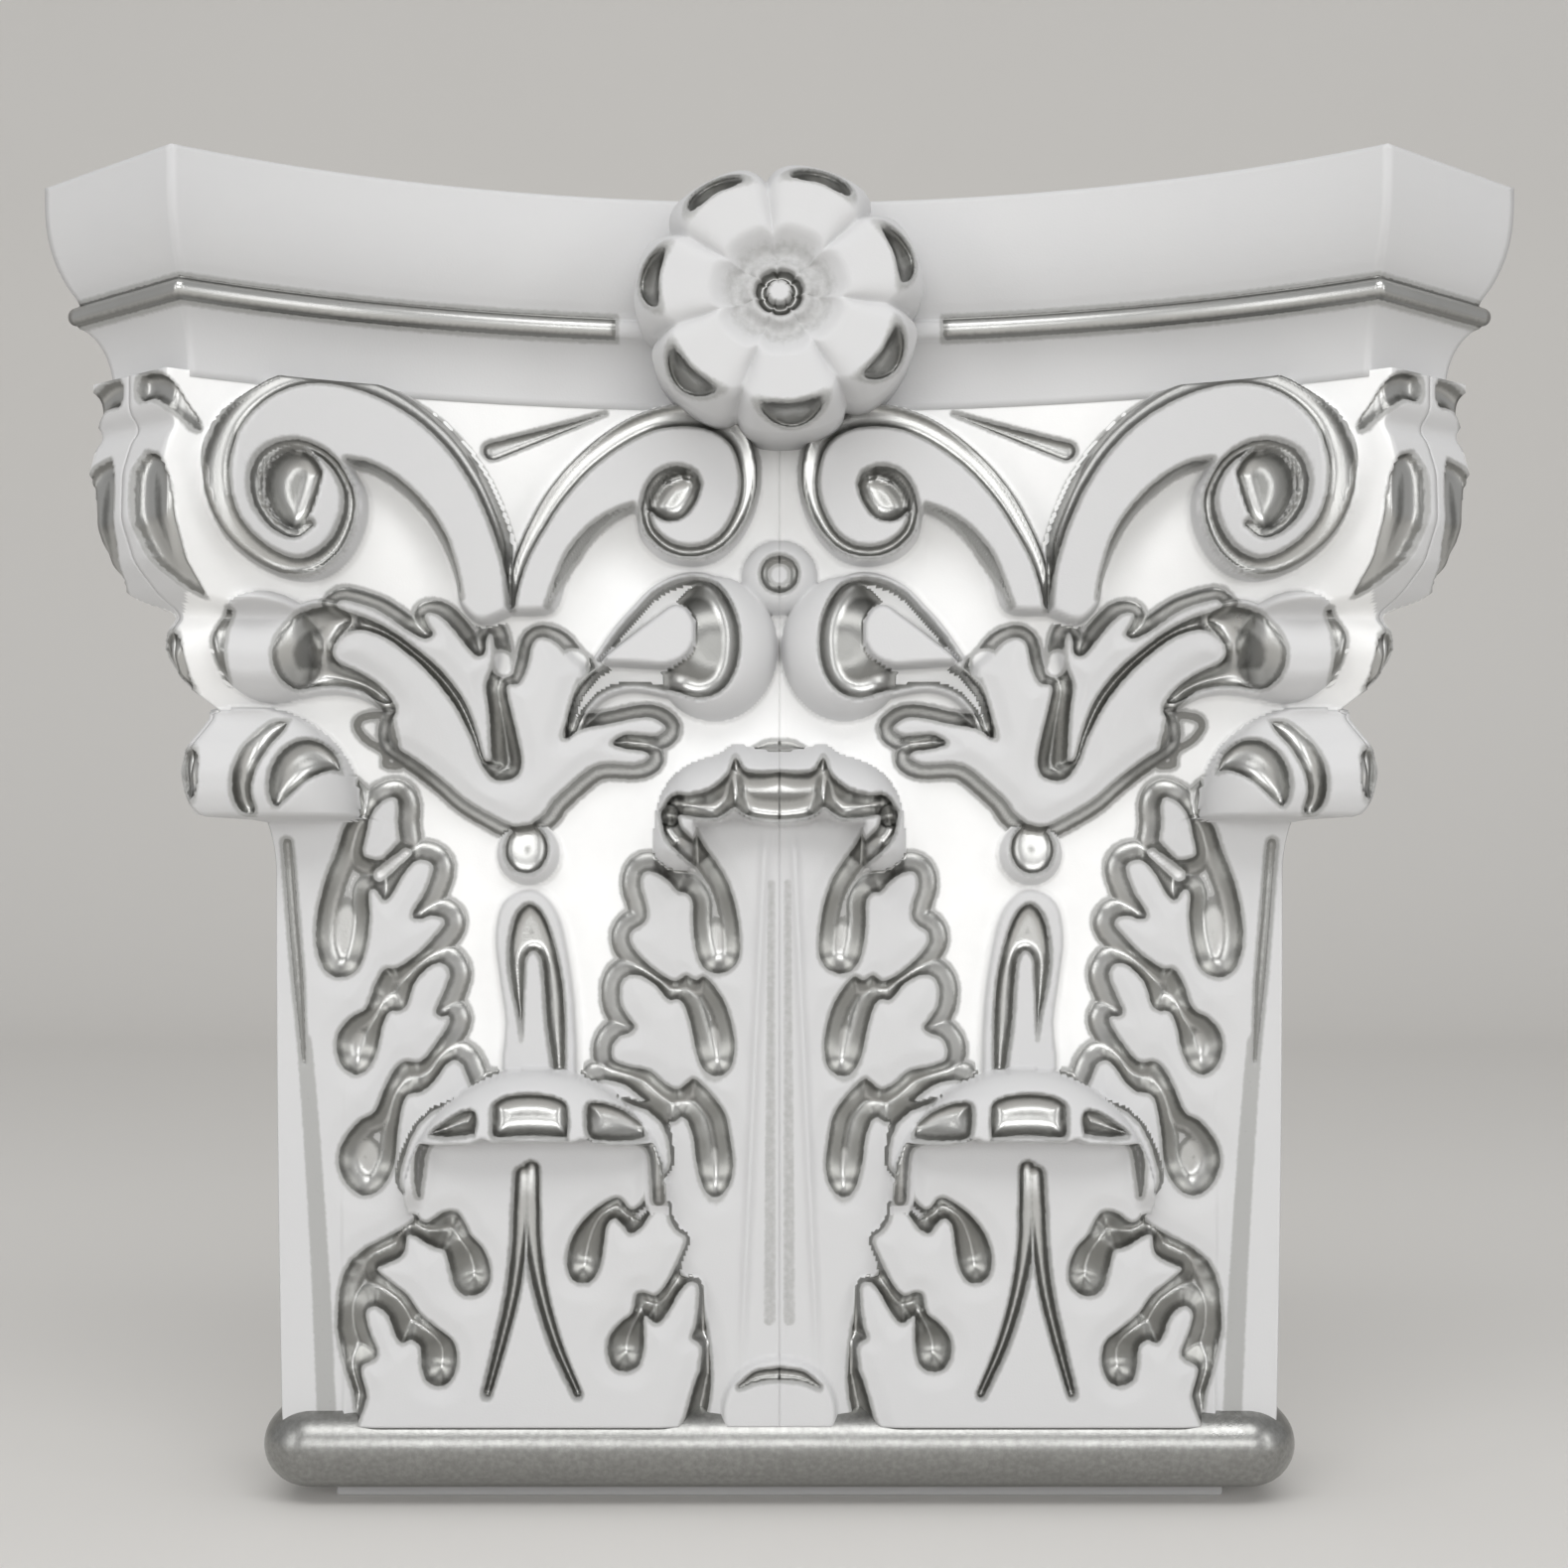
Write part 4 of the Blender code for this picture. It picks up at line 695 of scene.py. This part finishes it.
@dataclass
class Carving:
    """The bell and all that is carved on it, as one depth in front of the wall.

    The depth is the lesser of two: the bell's face with its relief, and the corner's chamfer,
    where out and depth add up to a sum that changes with height.
    """

    shaft_half: float = 97.0
    shaft_depth: float = 47.0
    foot: float = 20.4
    top: float = 222.5
    horn: Point = (112.2, 94.8)
    waist_depth: float = 51.0
    slab_inset: float = 10.0
    flare: float = 76.0
    bell_start: float = 128.0
    bell_end: float = 200.0
    lean: float = 0.5
    return_relief: float = 2.6

    @property
    def inset(self) -> float:
        """How far in front of the diagonal the wall meets it."""
        return self.shaft_half - self.shaft_depth

    def plan_front(self, out: Array, offset: float) -> Array:
        """Depth of the slab's hollow front, an arc about a far centre, moved back by an offset."""
        rise = self.horn[1] - self.waist_depth
        radius = (self.horn[0] ** 2 + rise ** 2) / (2.0 * rise)
        reach = np.sqrt(np.maximum((radius + offset) ** 2 - out ** 2, 1.0))
        return self.waist_depth + radius - reach

    def corner_limit(self, up: Array) -> Array:
        """Depth of the corner on the diagonal plane at each height."""
        heights = (0, 21, 103, 122, 134, 137.5, 140, 143.5, 148, 153, 156.5, 159.5, 162.5, 166.5,
                   171, 175, 178.5, 182, 188, 196, 205, 211, 213.5, 217, 224)
        depths = (49, 50.5, 53.5, 55.5, 58, 61, 64.6, 66.6, 67, 65.4, 63, 61.2, 64.6, 68.6, 69.6,
                  68.6, 66.6, 70.4, 74.2, 76.2, self.flare, 74.6, 73.2, 75, 75)
        around = (-1.2, -0.8, -0.4, 0.0, 0.4, 0.8, 1.2)
        return np.mean([np.interp(up + shift, heights, depths) for shift in around], axis=0)

    def layers(self, spot: Spot) -> Layer:
        """Every ornament, each laid over the ones behind it."""
        arc = stroke(spot, ((0, 27.4), (4.5, 26.8), (8.2, 24.8)), (1.5, 1.4, 0.7))
        moon = bare(raised(oval(spot, (0, 19.5), 12.4, 11.4), 6.4, 2.4)).scooped(arc, 1.4, 1.6)
        layer = bare(np.zeros_like(spot.out))
        for ornament in (CornerLeaf().layer(spot), Stalk().layer(spot),
                         Calyx().layer(spot), Scrolls().layer(spot), MiddleLeaf().layer(spot),
                         moon, LowerLeaf().layer(spot)):
            layer = ornament.over(layer)
        return layer.scooped(Scrolls().cuts(spot), 1.6, 1.3)

    def front(self, spot: Spot, on_return: bool = False) -> tuple[Array, ...]:
        """The finished surface.

        Args:
            spot: Where to measure.
            on_return: Whether it is a side return, whose lower leaves are cut shallow.

        Returns:
            Depth in front of the wall, depth inside the paint, height over the bell, and how
            far the corner's hollows sink along the diagonal.
        """
        limit = self.corner_limit(spot.up)
        layer = self.layers(Spot(spot.out + self.lean * ramp(spot.out, 2.0, 16.0), spot.up))
        if on_return:
            low = self.return_relief + 20.0 * ramp(spot.up, 111.0, 142.0)
            layer.height = np.minimum(layer.height, low)
        hollow = self.plan_front(spot.out, self.slab_inset)
        opened = ramp(spot.up, self.bell_start, self.bell_end)
        depth = self.shaft_depth + (hollow - self.shaft_depth) * opened + layer.height
        rounded = limit + 1.0 + 20.0 * ramp(spot.up, 178.0, 188.0) + 30.0 * (spot.out < 88.0)
        blend = np.maximum(4.0 - np.abs(depth - rounded), 0.0)
        depth = np.minimum(depth, rounded) - blend ** 2 / 16.0
        ends = CornerEnd().hollows(Spot(spot.out - limit - self.inset, spot.up))
        chamfer = 2.0 * limit + self.inset - spot.out
        cut = chamfer < depth
        paint = np.maximum(np.where(cut, UNPAINTED, layer.paint), 0.3 - ends)
        sink = cupped(ends, 2.6, CornerEnd().depth)
        return np.minimum(depth, chamfer), paint, np.where(cut, RAISED, layer.height), sink

    def corner_out(self, up: Array) -> Array:
        """Distance from the centre line to the corner's edge at each height, by halving."""
        low = np.full_like(up, self.inset)
        high = np.full_like(up, 160.0)
        for _ in range(26):
            middle = 0.5 * (low + high)
            inside = self.front(Spot(middle, up))[0] > middle - self.inset
            low = np.where(inside, middle, low)
            high = np.where(inside, high, middle)
        return 0.5 * (low + high)


def whole_plan(halves: Array, heights: Array) -> Array:
    """Grid of points from half plans, one for each height, and their mirror images."""
    level = np.broadcast_to(heights[:, None], halves.shape[:2])
    right = np.dstack([halves, level])
    left = right[:, :0:-1] * np.array([-1.0, 1.0, 1.0])
    return np.concatenate([left, right], axis=1)


@dataclass
class MeshMaker:
    """Turns grids of points in millimetres into finished pieces of the capital."""

    wall: float

    def piece(self, name: str, points: Array, faces: Array, smooth: Array,
              paint: Array, relief: Array) -> bpy.types.Object:
        """One piece with its two attributes, riding on the casting.

        Args:
            name: The piece's name.
            points: Rows of right, forward and up, in millimetres from the wall's foot.
            faces: Rows of four point numbers.
            smooth: Whether each face is shaded smooth.
            paint: Depth inside the paint at each point.
            relief: Height over the bell at each point.

        Returns:
            The object.
        """
        mesh = bpy.data.meshes.new(name)
        mesh.vertices.add(len(points))
        placed = np.column_stack([points[:, 0] * MM, self.wall - points[:, 1] * MM,
                                  points[:, 2] * MM])
        mesh.vertices.foreach_set("co", placed.ravel())
        mesh.loops.add(faces.size)
        mesh.loops.foreach_set("vertex_index", faces.ravel().astype(np.int32))
        mesh.polygons.add(len(faces))
        mesh.polygons.foreach_set("loop_start", np.arange(len(faces), dtype=np.int32) * 4)
        mesh.polygons.foreach_set("use_smooth", smooth)
        for label, values in (("paint", paint), ("relief", relief)):
            layer = mesh.attributes.new(label, "FLOAT", "POINT")
            layer.data.foreach_set("value", values.astype(np.float32))
        mesh.update(calc_edges=True)
        mesh.validate()
        made = linked(name, mesh)
        self.close(made)
        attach(made, "root")
        LOG.info("%s: %d faces", name, len(mesh.polygons))
        return made

    def close(self, made: bpy.types.Object) -> None:
        """Merge doubled points, fill the two open ends and turn every face outwards."""
        sheet = bmesh.new()
        sheet.from_mesh(made.data)
        bmesh.ops.remove_doubles(sheet, verts=sheet.verts, dist=1e-6)
        rims = [edge for edge in sheet.edges if edge.is_boundary]
        for cap in bmesh.ops.holes_fill(sheet, edges=rims, sides=0)["faces"]:
            cap.smooth = False
        bmesh.ops.recalc_face_normals(sheet, faces=sheet.faces)
        sheet.to_mesh(made.data)
        sheet.free()

    def tube(self, name: str, grid: Array, paint: Array, relief: Array,
             faceted: tuple[slice, ...] = ()) -> bpy.types.Object:
        """A closed piece from rings of points: round each ring, and row on row.

        Args:
            name: The piece's name.
            grid: Points by ring, by place on the ring, by axis.
            paint: Depth inside the paint on the same grid.
            relief: Height over the bell on the same grid.
            faceted: Places on the ring whose faces stay flat.

        Returns:
            The object.
        """
        rings, around = paint.shape
        ring, place = np.meshgrid(np.arange(rings - 1), np.arange(around), indexing="ij")
        after = (place + 1) % around
        faces = np.stack([ring * around + place, ring * around + after,
                          (ring + 1) * around + after, (ring + 1) * around + place], axis=-1)
        smooth = np.ones(faces.shape[:2], dtype=bool)
        for part in faceted:
            smooth[:, part] = False
        return self.piece(name, grid.reshape(-1, 3), faces.reshape(-1, 4), smooth.ravel(),
                          paint.ravel(), relief.ravel())


@dataclass
class Bell:
    """The carved bell: a wedge for each half of the front and one for each side return."""

    carving: Carving
    maker: MeshMaker
    rows: int = 400
    front_columns: int = 240
    side_columns: int = 112
    overlap: float = 3.6
    spread: float = 108.0

    def build(self) -> list[bpy.types.Object]:
        """Make the four wedges."""
        shape = self.carving
        up = np.linspace(shape.foot - self.overlap, shape.top + 1.2, self.rows)
        edge = shape.corner_out(up)
        made = []
        share = np.linspace(0.0, 1.0, self.front_columns)
        out = self.spread * share + (edge[:, None] - self.spread) * share ** 6
        made += self.wedges("front", out, up, mirrored=False)
        reach = np.linspace(0.0, 1.0, self.side_columns)
        out = shape.inset + (edge[:, None] - shape.inset) * reach
        made += self.wedges("return", out, up, mirrored=True)
        return made

    def wedges(self, label: str, out: Array, up: Array, mirrored: bool) -> list[bpy.types.Object]:
        """The left and right wedge over one stretch of the drawing.

        Args:
            label: Part of their names.
            out: Distance out at each row and column.
            up: Height of each row.
            mirrored: Whether the stretch is turned about the corner's diagonal.

        Returns:
            Both objects.
        """
        inset = self.carving.inset
        level = np.broadcast_to(up[:, None], out.shape)
        depth, paint, relief, sink = self.carving.front(Spot(out, level), mirrored)
        out, depth = out - 0.5 * sink, depth - 0.5 * sink
        across, forward = (depth + inset, out - inset) if mirrored else (out, depth)
        ends = ([inset], [0.0]) if mirrored else ([inset, 0.0], [0.0, 0.0])
        spare = np.full((len(up), len(ends[0])), UNPAINTED)
        across = np.hstack([across, np.broadcast_to(ends[0], spare.shape)])
        forward = np.hstack([forward, np.broadcast_to(ends[1], spare.shape)])
        level = np.broadcast_to(up[:, None], across.shape)
        paint = np.hstack([paint, spare])
        relief = np.hstack([relief, spare * 0.0])
        flat = slice(out.shape[1] - 1, None)
        made = []
        for side in Side:
            grid = np.dstack([across * side.value, forward, level])
            name = f"bell_{label}_{side.name.lower()}"
            made.append(self.maker.tube(name, grid, paint, relief, (flat,)))
        return made


@dataclass
class Slab:
    """The moulded top slab: ovolo, silver-lined bead and hollow, carried along its plan."""

    carving: Carving
    maker: MeshMaker
    top: float = 263.0
    paint_start: float = 32.6

    def profile(self) -> tuple[Array, Array]:
        """Offset and height of the edge from its top down, and the depth inside the paint.

        The stops of the ovolo are an offset and a share of the slab's height.
        """
        base, rise = self.carving.top, self.top - self.carving.top
        stops = [(0.0, 1.0), (0.05, 0.87), (0.4, 0.765), (1.15, 0.665), (2.2, 0.58), (3.4, 0.51),
                 (4.5, 0.46), (5.0, 0.43)]
        soft = curve(tuple((offset, share * rise) for offset, share in stops), 6)
        turn = np.linspace(-0.5 * np.pi, 0.5 * np.pi, 16)
        bead = np.column_stack([4.6 - 1.3 * np.cos(turn), (0.375 - 0.045 * np.sin(turn)) * rise])
        turn = np.linspace(0.0, 0.5 * np.pi, 18)
        hollow = np.column_stack([5.0 + 4.8 * np.sin(turn) ** 1.4,
                                  0.315 * rise * np.cos(turn) ** 0.9])
        line = np.vstack([soft, bead, hollow])
        paint = 2.75 - np.abs(line[:, 1] - 0.380 * rise)
        line[:, 1] += base
        return line, paint

    def plan(self, offset: float, count: int) -> Array:
        """Half of the plan from the middle of the front to the wall, moved in by an offset."""
        shape = self.carving
        total = shape.horn[0] + shape.horn[1] - np.sqrt(2.0) * offset
        trial = np.linspace(90.0, 130.0, 4001)
        horn = trial[np.argmin(np.abs(trial + shape.plan_front(trial, offset) - total))]
        out = np.linspace(0.0, horn, count)
        front = np.column_stack([out, shape.plan_front(out, offset)])
        back = np.linspace(horn, shape.inset, count // 2)
        side = np.column_stack([shape.plan_front(back, offset) + shape.inset,
                                back - shape.inset])
        run = np.linspace(0.0, 1.0, 24)[1:-1, None]
        chamfer = front[-1] + (side[0] - front[-1]) * run
        return np.vstack([front, chamfer, side])

    def build(self) -> bpy.types.Object:
        """Carry the profile along the plan."""
        line, paint = self.profile()
        halves = np.stack([self.plan(offset, 110) for offset in line[:, 0]])
        grid = whole_plan(halves, line[:, 1])
        painted = np.minimum(paint[:, None], np.abs(grid[:, :, 0]) - self.paint_start)
        relief = np.full(painted.shape, RAISED)
        back = slice(grid.shape[1] - 1, None)
        return self.maker.tube("top_slab", grid, painted, relief, (back,))


@dataclass
class Flower:
    """The rosette: seven cupped petals about a dished heart and a button.

    The heart and the button are shares of the radius, where each one's ring lies.
    """

    carving: Carving
    maker: MeshMaker
    radius: float = 28.6
    squash: float = 0.93
    rise: float = 22.0
    middle: Point = (0.0, 241.15)
    petals: int = 7
    first_petal: float = 96.0
    heart: float = 0.235
    button: float = 0.125
    back: float = 12.0

    def build(self) -> bpy.types.Object:
        """The flower as rings about its button, closed behind."""
        share, angle = np.meshgrid(np.linspace(0.02, 1.0, 96),
                                   np.linspace(0.0, 2 * np.pi, 336, endpoint=False), indexing="ij")
        phase = ((angle - np.radians(self.first_petal)) * self.petals / (2 * np.pi)) % 1.0
        crease = np.abs(phase - 0.5) * 2.0
        edge = self.radius * (1.0 - 0.12 * crease ** 5)
        depth = self.carving.waist_depth + self.rise - 5.0 - 16.0 * ramp(share, 0.80, 1.14) ** 1.2
        depth += 4.0 * ramp(share, 0.28, 0.50) - 2.2 * crease ** 6 * ramp(share, 0.30, 0.7)
        scoop = (np.hypot((share - 0.86 + 0.03 * np.cos(phase * 2 * np.pi)) / 0.075,
                          crease / 0.60) - 1.0) * 2.2
        button = np.abs(share - self.button) * self.radius - 1.25
        depth -= cupped(scoop, 2.2, 4.5) + cupped(button, 1.25, 1.6)
        depth += 2.2 * (share < 0.09) + 1.4 * np.exp(-((share - 0.20) / 0.05) ** 2)
        dish = 6.0 * (0.11 - np.abs(share - self.heart)) - 0.2
        paint = np.maximum.reduce([0.3 - scoop, 0.2 - button, np.minimum(dish, -0.2)])
        across = self.middle[0] + edge * share * np.cos(angle)
        level = self.middle[1] + edge * share * np.sin(angle) * self.squash
        grid = np.dstack([across, depth, level])
        back = grid[-1:].copy()
        back[:, :, 1] = self.carving.waist_depth - self.back
        grid = np.concatenate([grid, back])
        paint = np.concatenate([paint, np.full_like(paint[-1:], UNPAINTED)])
        return self.maker.tube("rosette", grid, paint, np.full(paint.shape, RAISED))


@dataclass
class Foot:
    """The silver half-round ring at the foot of the bell and the plain fillet below it."""

    carving: Carving
    maker: MeshMaker
    neck: float = 3.4
    radius: float = 8.5
    tuck: float = 0.5
    neck_inset: float = 6.0
    neck_bevel: float = 0.4
    # This depth gives the ring's silver a little of the painted highlight over the darker painted
    # shade.
    paint_depth: float = 1.2

    def plan(self, offset: float) -> Array:
        """Half plan from the middle of the front to the wall, with a rounded corner."""
        half, front = self.carving.shaft_half + offset, self.carving.shaft_depth + offset
        bend = max(3.0 + offset, 0.5)
        turn = np.linspace(0.0, 0.5 * np.pi, 22)
        corner = np.column_stack([half - bend * (1 - np.sin(turn)),
                                  front - bend * (1 - np.cos(turn))])
        along = np.linspace(0.0, 1.0, 40, endpoint=False)[:, None]
        lead = np.column_stack([along * corner[0, 0], np.full(40, front)])
        side = corner[-1] + (np.array([half, 0.0]) - corner[-1]) * np.linspace(0, 1, 20)[1:, None]
        return np.vstack([lead, corner, side])

    def build(self) -> bpy.types.Object:
        """Carry the ring's half-round and the fillet's edge along the plan."""
        centre = self.neck + self.radius
        turn = np.linspace(0.5 * np.pi, -0.5 * np.pi, 40)
        ring = np.column_stack([self.radius * np.cos(turn) - self.tuck,
                                centre + self.radius * np.sin(turn)])
        fillet = np.array([[-self.neck_inset, self.neck], [-self.neck_inset, self.neck],
                           [-self.neck_inset, self.neck_bevel],
                           [-self.neck_inset - self.neck_bevel, 0.0]])
        line = np.vstack([[[-12.0, centre + self.radius]], ring, fillet])
        paint = np.where(np.arange(len(line)) <= len(ring), self.paint_depth, UNPAINTED)
        grid = whole_plan(np.stack([self.plan(offset) for offset in line[:, 0]]), line[:, 1])
        painted = np.broadcast_to(paint[:, None], grid.shape[:2])
        relief = np.full(painted.shape, RAISED)
        back = slice(grid.shape[1] - 1, None)
        return self.maker.tube("foot_ring", grid, painted, relief, (back,))


class Wire:
    """A shader socket that takes part in Python sums, each one a Math node."""

    def __init__(self, nodes: Nodes, socket: bpy.types.NodeSocket) -> None:
        """Keep the socket and the maker of its nodes."""
        self.nodes = nodes
        self.socket = socket

    def math(self, operation: str, *values: Wire | float) -> Wire:
        """A Math node on these values."""
        return self.nodes.add("ShaderNodeMath", {"operation": operation}, *values)

    def __add__(self, other: Wire | float) -> Wire:
        """Sum."""
        return self.math("ADD", self, other)

    def __sub__(self, other: Wire | float) -> Wire:
        """Difference."""
        return self.math("SUBTRACT", self, other)

    def __mul__(self, other: Wire | float) -> Wire:
        """Product."""
        return self.math("MULTIPLY", self, other)

    def __rsub__(self, other: float) -> Wire:
        """Difference from a number."""
        return self.math("SUBTRACT", other, self)

    __radd__ = __add__
    __rmul__ = __mul__

    def step(self, start: float, end: float) -> Wire:
        """A smooth step from 0 at start to 1 at end."""
        return self.nodes.add("ShaderNodeMapRange", {"interpolation_type": "SMOOTHSTEP"},
                              self, start, end, 0.0, 1.0)


class Nodes:
    """The node tree of one material."""

    def __init__(self, name: str) -> None:
        """Start a material with a Principled shader."""
        self.material = bpy.data.materials.new(name)
        self.material.use_nodes = True
        self.tree = self.material.node_tree
        self.shader = self.tree.nodes["Principled BSDF"]

    def add(self, kind: str, settings: dict, *values: Wire | float | tuple | None,
            output: int = 0, **named: Wire | float | tuple) -> Wire:
        """Any node: its settings first, then its sockets' values or links.

        Args:
            kind: Blender's name for the node.
            settings: Properties to set on it.
            *values: What its first sockets get, in order; None leaves one alone.
            output: Which output to hand back.
            **named: What further sockets get, by name with underscores for spaces.

        Returns:
            The chosen output.
        """
        node = self.tree.nodes.new(kind)
        for key, value in settings.items():
            setattr(node, key, value)
        pairs = list(zip(node.inputs, values))
        pairs += [(node.inputs[key.replace("_", " ")], value) for key, value in named.items()]
        for socket, value in pairs:
            self.feed(socket, value)
        return Wire(self, node.outputs[output])

    def feed(self, socket: bpy.types.NodeSocket, value: Wire | float | tuple | None) -> None:
        """Link a wire into a socket or set its value."""
        if isinstance(value, Wire):
            self.tree.links.new(value.socket, socket)
        elif value is not None:
            socket.default_value = value

    def attribute(self, name: str) -> Wire:
        """The value of a mesh attribute."""
        return self.add("ShaderNodeAttribute", {"attribute_name": name}, output=2)

    def noise(self, scale: float, detail: float) -> Wire:
        """Noise over the object's own coordinates."""
        place = self.add("ShaderNodeTexCoord", {}, output=3)
        return self.add("ShaderNodeTexNoise", {}, Vector=place, Scale=scale, Detail=detail)

    def mix(self, factor: Wire, first: Wire | tuple, second: Wire | tuple) -> Wire:
        """A blend of two colours."""
        node = self.tree.nodes.new("ShaderNodeMix")
        node.data_type = "RGBA"
        for socket, value in ((node.inputs[0], factor), (node.inputs[6], first),
                              (node.inputs[7], second)):
            self.feed(socket, value)
        return Wire(self, node.outputs[2])


@dataclass(frozen=True)
class PaintedCasting:
    """White casting with silver paint in its hollows, and a grey edge where it feathers out; the
    silver is lighter as a painted highlight in the middle of its bands and darker as painted shade
    at their edges.
    """

    ground: Colour = (0.93, 0.93, 0.925, 1.0)
    raised: Colour = (0.60, 0.60, 0.605, 1.0)
    mottled: Colour = (0.64, 0.64, 0.63, 1.0)
    # Lighter silver: a painted highlight in the middle of the paint's bands and near the rims of
    # pits.
    silver: Colour = (0.60, 0.60, 0.585, 1.0)
    # Darker silver: painted shade at the edges of the bands and on the deepest floors.
    silver_painted_shade: Colour = (0.25, 0.25, 0.24, 1.0)
    feather: Colour = (0.36, 0.36, 0.35, 1.0)
    white_rough: float = 0.62
    silver_rough: float = 0.30

    def material(self) -> bpy.types.Material:
        """The finish, driven by the pieces' paint and relief attributes."""
        nodes = Nodes("painted casting")
        wander = (nodes.noise(900.0, 3.0) - 0.5) * 0.5
        paint = nodes.attribute("paint") + wander
        core = paint.step(0.30, 0.60)
        feather = paint.step(-0.60, 0.10)
        mottle = nodes.noise(60.0, 4.0)
        grain = nodes.noise(2600.0, 2.0)
        level = nodes.attribute("relief").step(0.6, 2.6)
        white = nodes.mix(level, self.ground, self.raised)
        white = nodes.mix((mottle - 0.5) * 0.5 + 0.1, white, self.mottled)
        edge = nodes.mix(feather * 0.85, white, self.feather)
        # Painted highlight where the paint is 0.9 to 4.6 mm deep; elsewhere the silver keeps its
        # painted shade.
        painted_highlight = paint.step(0.9, 1.8) * (1.0 - paint.step(3.4, 4.6))
        sheen = nodes.mix(painted_highlight, self.silver_painted_shade, self.silver)
        sheen = nodes.mix((mottle * 0.4) * core, sheen, self.silver_painted_shade)
        shader = nodes.shader
        nodes.feed(shader.inputs["Base Color"], nodes.mix(core, edge, sheen))
        nodes.feed(shader.inputs["Metallic"], core)
        rough = core * (self.silver_rough - self.white_rough) + self.white_rough
        nodes.feed(shader.inputs["Roughness"], rough + (mottle - 0.5) * 0.12)
        bump = nodes.add("ShaderNodeBump", {}, Strength=0.12, Distance=0.0002, Height=grain)
        nodes.feed(shader.inputs["Normal"], bump)
        return nodes.material


@dataclass(frozen=True)
class Studio:
    """A plain pale floor that curves up behind, soft lights, and the camera."""

    wall: float
    distance: float = 0.567
    eye: float = 0.1338
    lens: float = 58.8
    shift: tuple[float, float] = (0.0029, 0.0383)
    sky: float = 0.47
    floor_colour: Colour = (0.78, 0.765, 0.74, 1.0)
    floor_stain: Colour = (0.72, 0.70, 0.67, 1.0)
    floor_rough: float = 0.8

    def floor(self) -> None:
        """A sheet that runs flat, bends up in a quarter circle and rises behind."""
        radius, near, flat, high, half = 0.5, -3.0, 1.2, 2.4, 4.0
        turn = np.linspace(0.0, 0.5 * np.pi, 24)
        line = np.vstack([[[near, 0.0]],
                          np.column_stack([flat + radius * np.sin(turn),
                                           radius * (1 - np.cos(turn))]),
                          [[flat + radius, high]]])
        points = np.array([(x, y, z) for y, z in line for x in (-half, half)])
        rows = len(line)
        faces = [(2 * r, 2 * r + 1, 2 * r + 3, 2 * r + 2) for r in range(rows - 1)]
        mesh = bpy.data.meshes.new("floor")
        mesh.from_pydata(points.tolist(), [], faces)
        mesh.shade_smooth()
        nodes = Nodes("pale floor")
        tint = nodes.mix(nodes.noise(3.0, 3.0) * 0.3, self.floor_colour, self.floor_stain)
        nodes.feed(nodes.shader.inputs["Base Color"], tint)
        nodes.shader.inputs["Roughness"].default_value = self.floor_rough
        mesh.materials.append(nodes.material)
        linked("floor", mesh)

    def light(self, name: str, place: tuple, aim: tuple, size: tuple, watts: float) -> None:
        """One rectangular soft light, turned towards a point.

        Args:
            name: The light's name.
            place: Where it stands, in metres.
            aim: The point it faces.
            size: Its width and height.
            watts: Its power.
        """
        data = bpy.data.lights.new(name, "AREA")
        data.shape = "RECTANGLE"
        data.size, data.size_y = size
        data.energy = watts
        lamp = linked(name, data)
        lamp.location = place
        facing = (Vector(aim) - lamp.location).to_track_quat("-Z", "Y")
        lamp.rotation_euler = facing.to_euler()

    def lights(self) -> None:
        """A broad key above, a low strip in front, one at each side, and an even surround."""
        middle = (0.0, 0.0, 0.13)
        self.light("key", (0.0, -1.0, 1.25), (0.0, 0.0, 0.12), (1.5, 0.6), 9.0)
        self.light("front", (0.0, -1.6, 0.46), middle, (1.8, 0.4), 7.0)
        self.light("left", (-1.3, -0.9, 0.45), middle, (0.4, 0.9), 2.5)
        self.light("right", (1.3, -0.9, 0.45), middle, (0.4, 0.9), 2.5)
        world = bpy.data.worlds.new("studio")
        bpy.context.scene.world = world
        world.use_nodes = True
        shade = world.node_tree.nodes["Background"]
        shade.inputs["Color"].default_value = (1.0, 1.0, 1.0, 1.0)
        shade.inputs["Strength"].default_value = self.sky
        bpy.context.scene.view_settings.view_transform = "Standard"

    def camera(self) -> None:
        """Level, straight at the wall, with the frame moved to take in the whole capital."""
        data = bpy.data.cameras.new("camera")
        data.lens = self.lens
        data.sensor_width = 36.0
        data.shift_x, data.shift_y = self.shift
        camera = linked("camera", data)
        camera.location = (0.0, self.wall - self.distance, self.eye)
        camera.rotation_euler = (0.5 * np.pi, 0.0, 0.0)
        bpy.context.scene.camera = camera


def main() -> None:
    """Build the capital's pieces in order, dress them and set the studio."""
    logging.basicConfig(level=logging.INFO, format="%(message)s")
    wall = float(CAD_BOX[1][1])
    carving = Carving()
    maker = MeshMaker(wall)
    studio = Studio(wall)
    studio.camera()
    studio.lights()
    studio.floor()
    pieces = Bell(carving, maker).build()
    pieces.append(Slab(carving, maker).build())
    pieces.append(Flower(carving, maker).build())
    pieces.append(Foot(carving, maker).build())
    finish = PaintedCasting().material()
    for piece in pieces:
        piece.data.materials.append(finish)
    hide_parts(NODE)


if __name__ == "__main__":
    main()
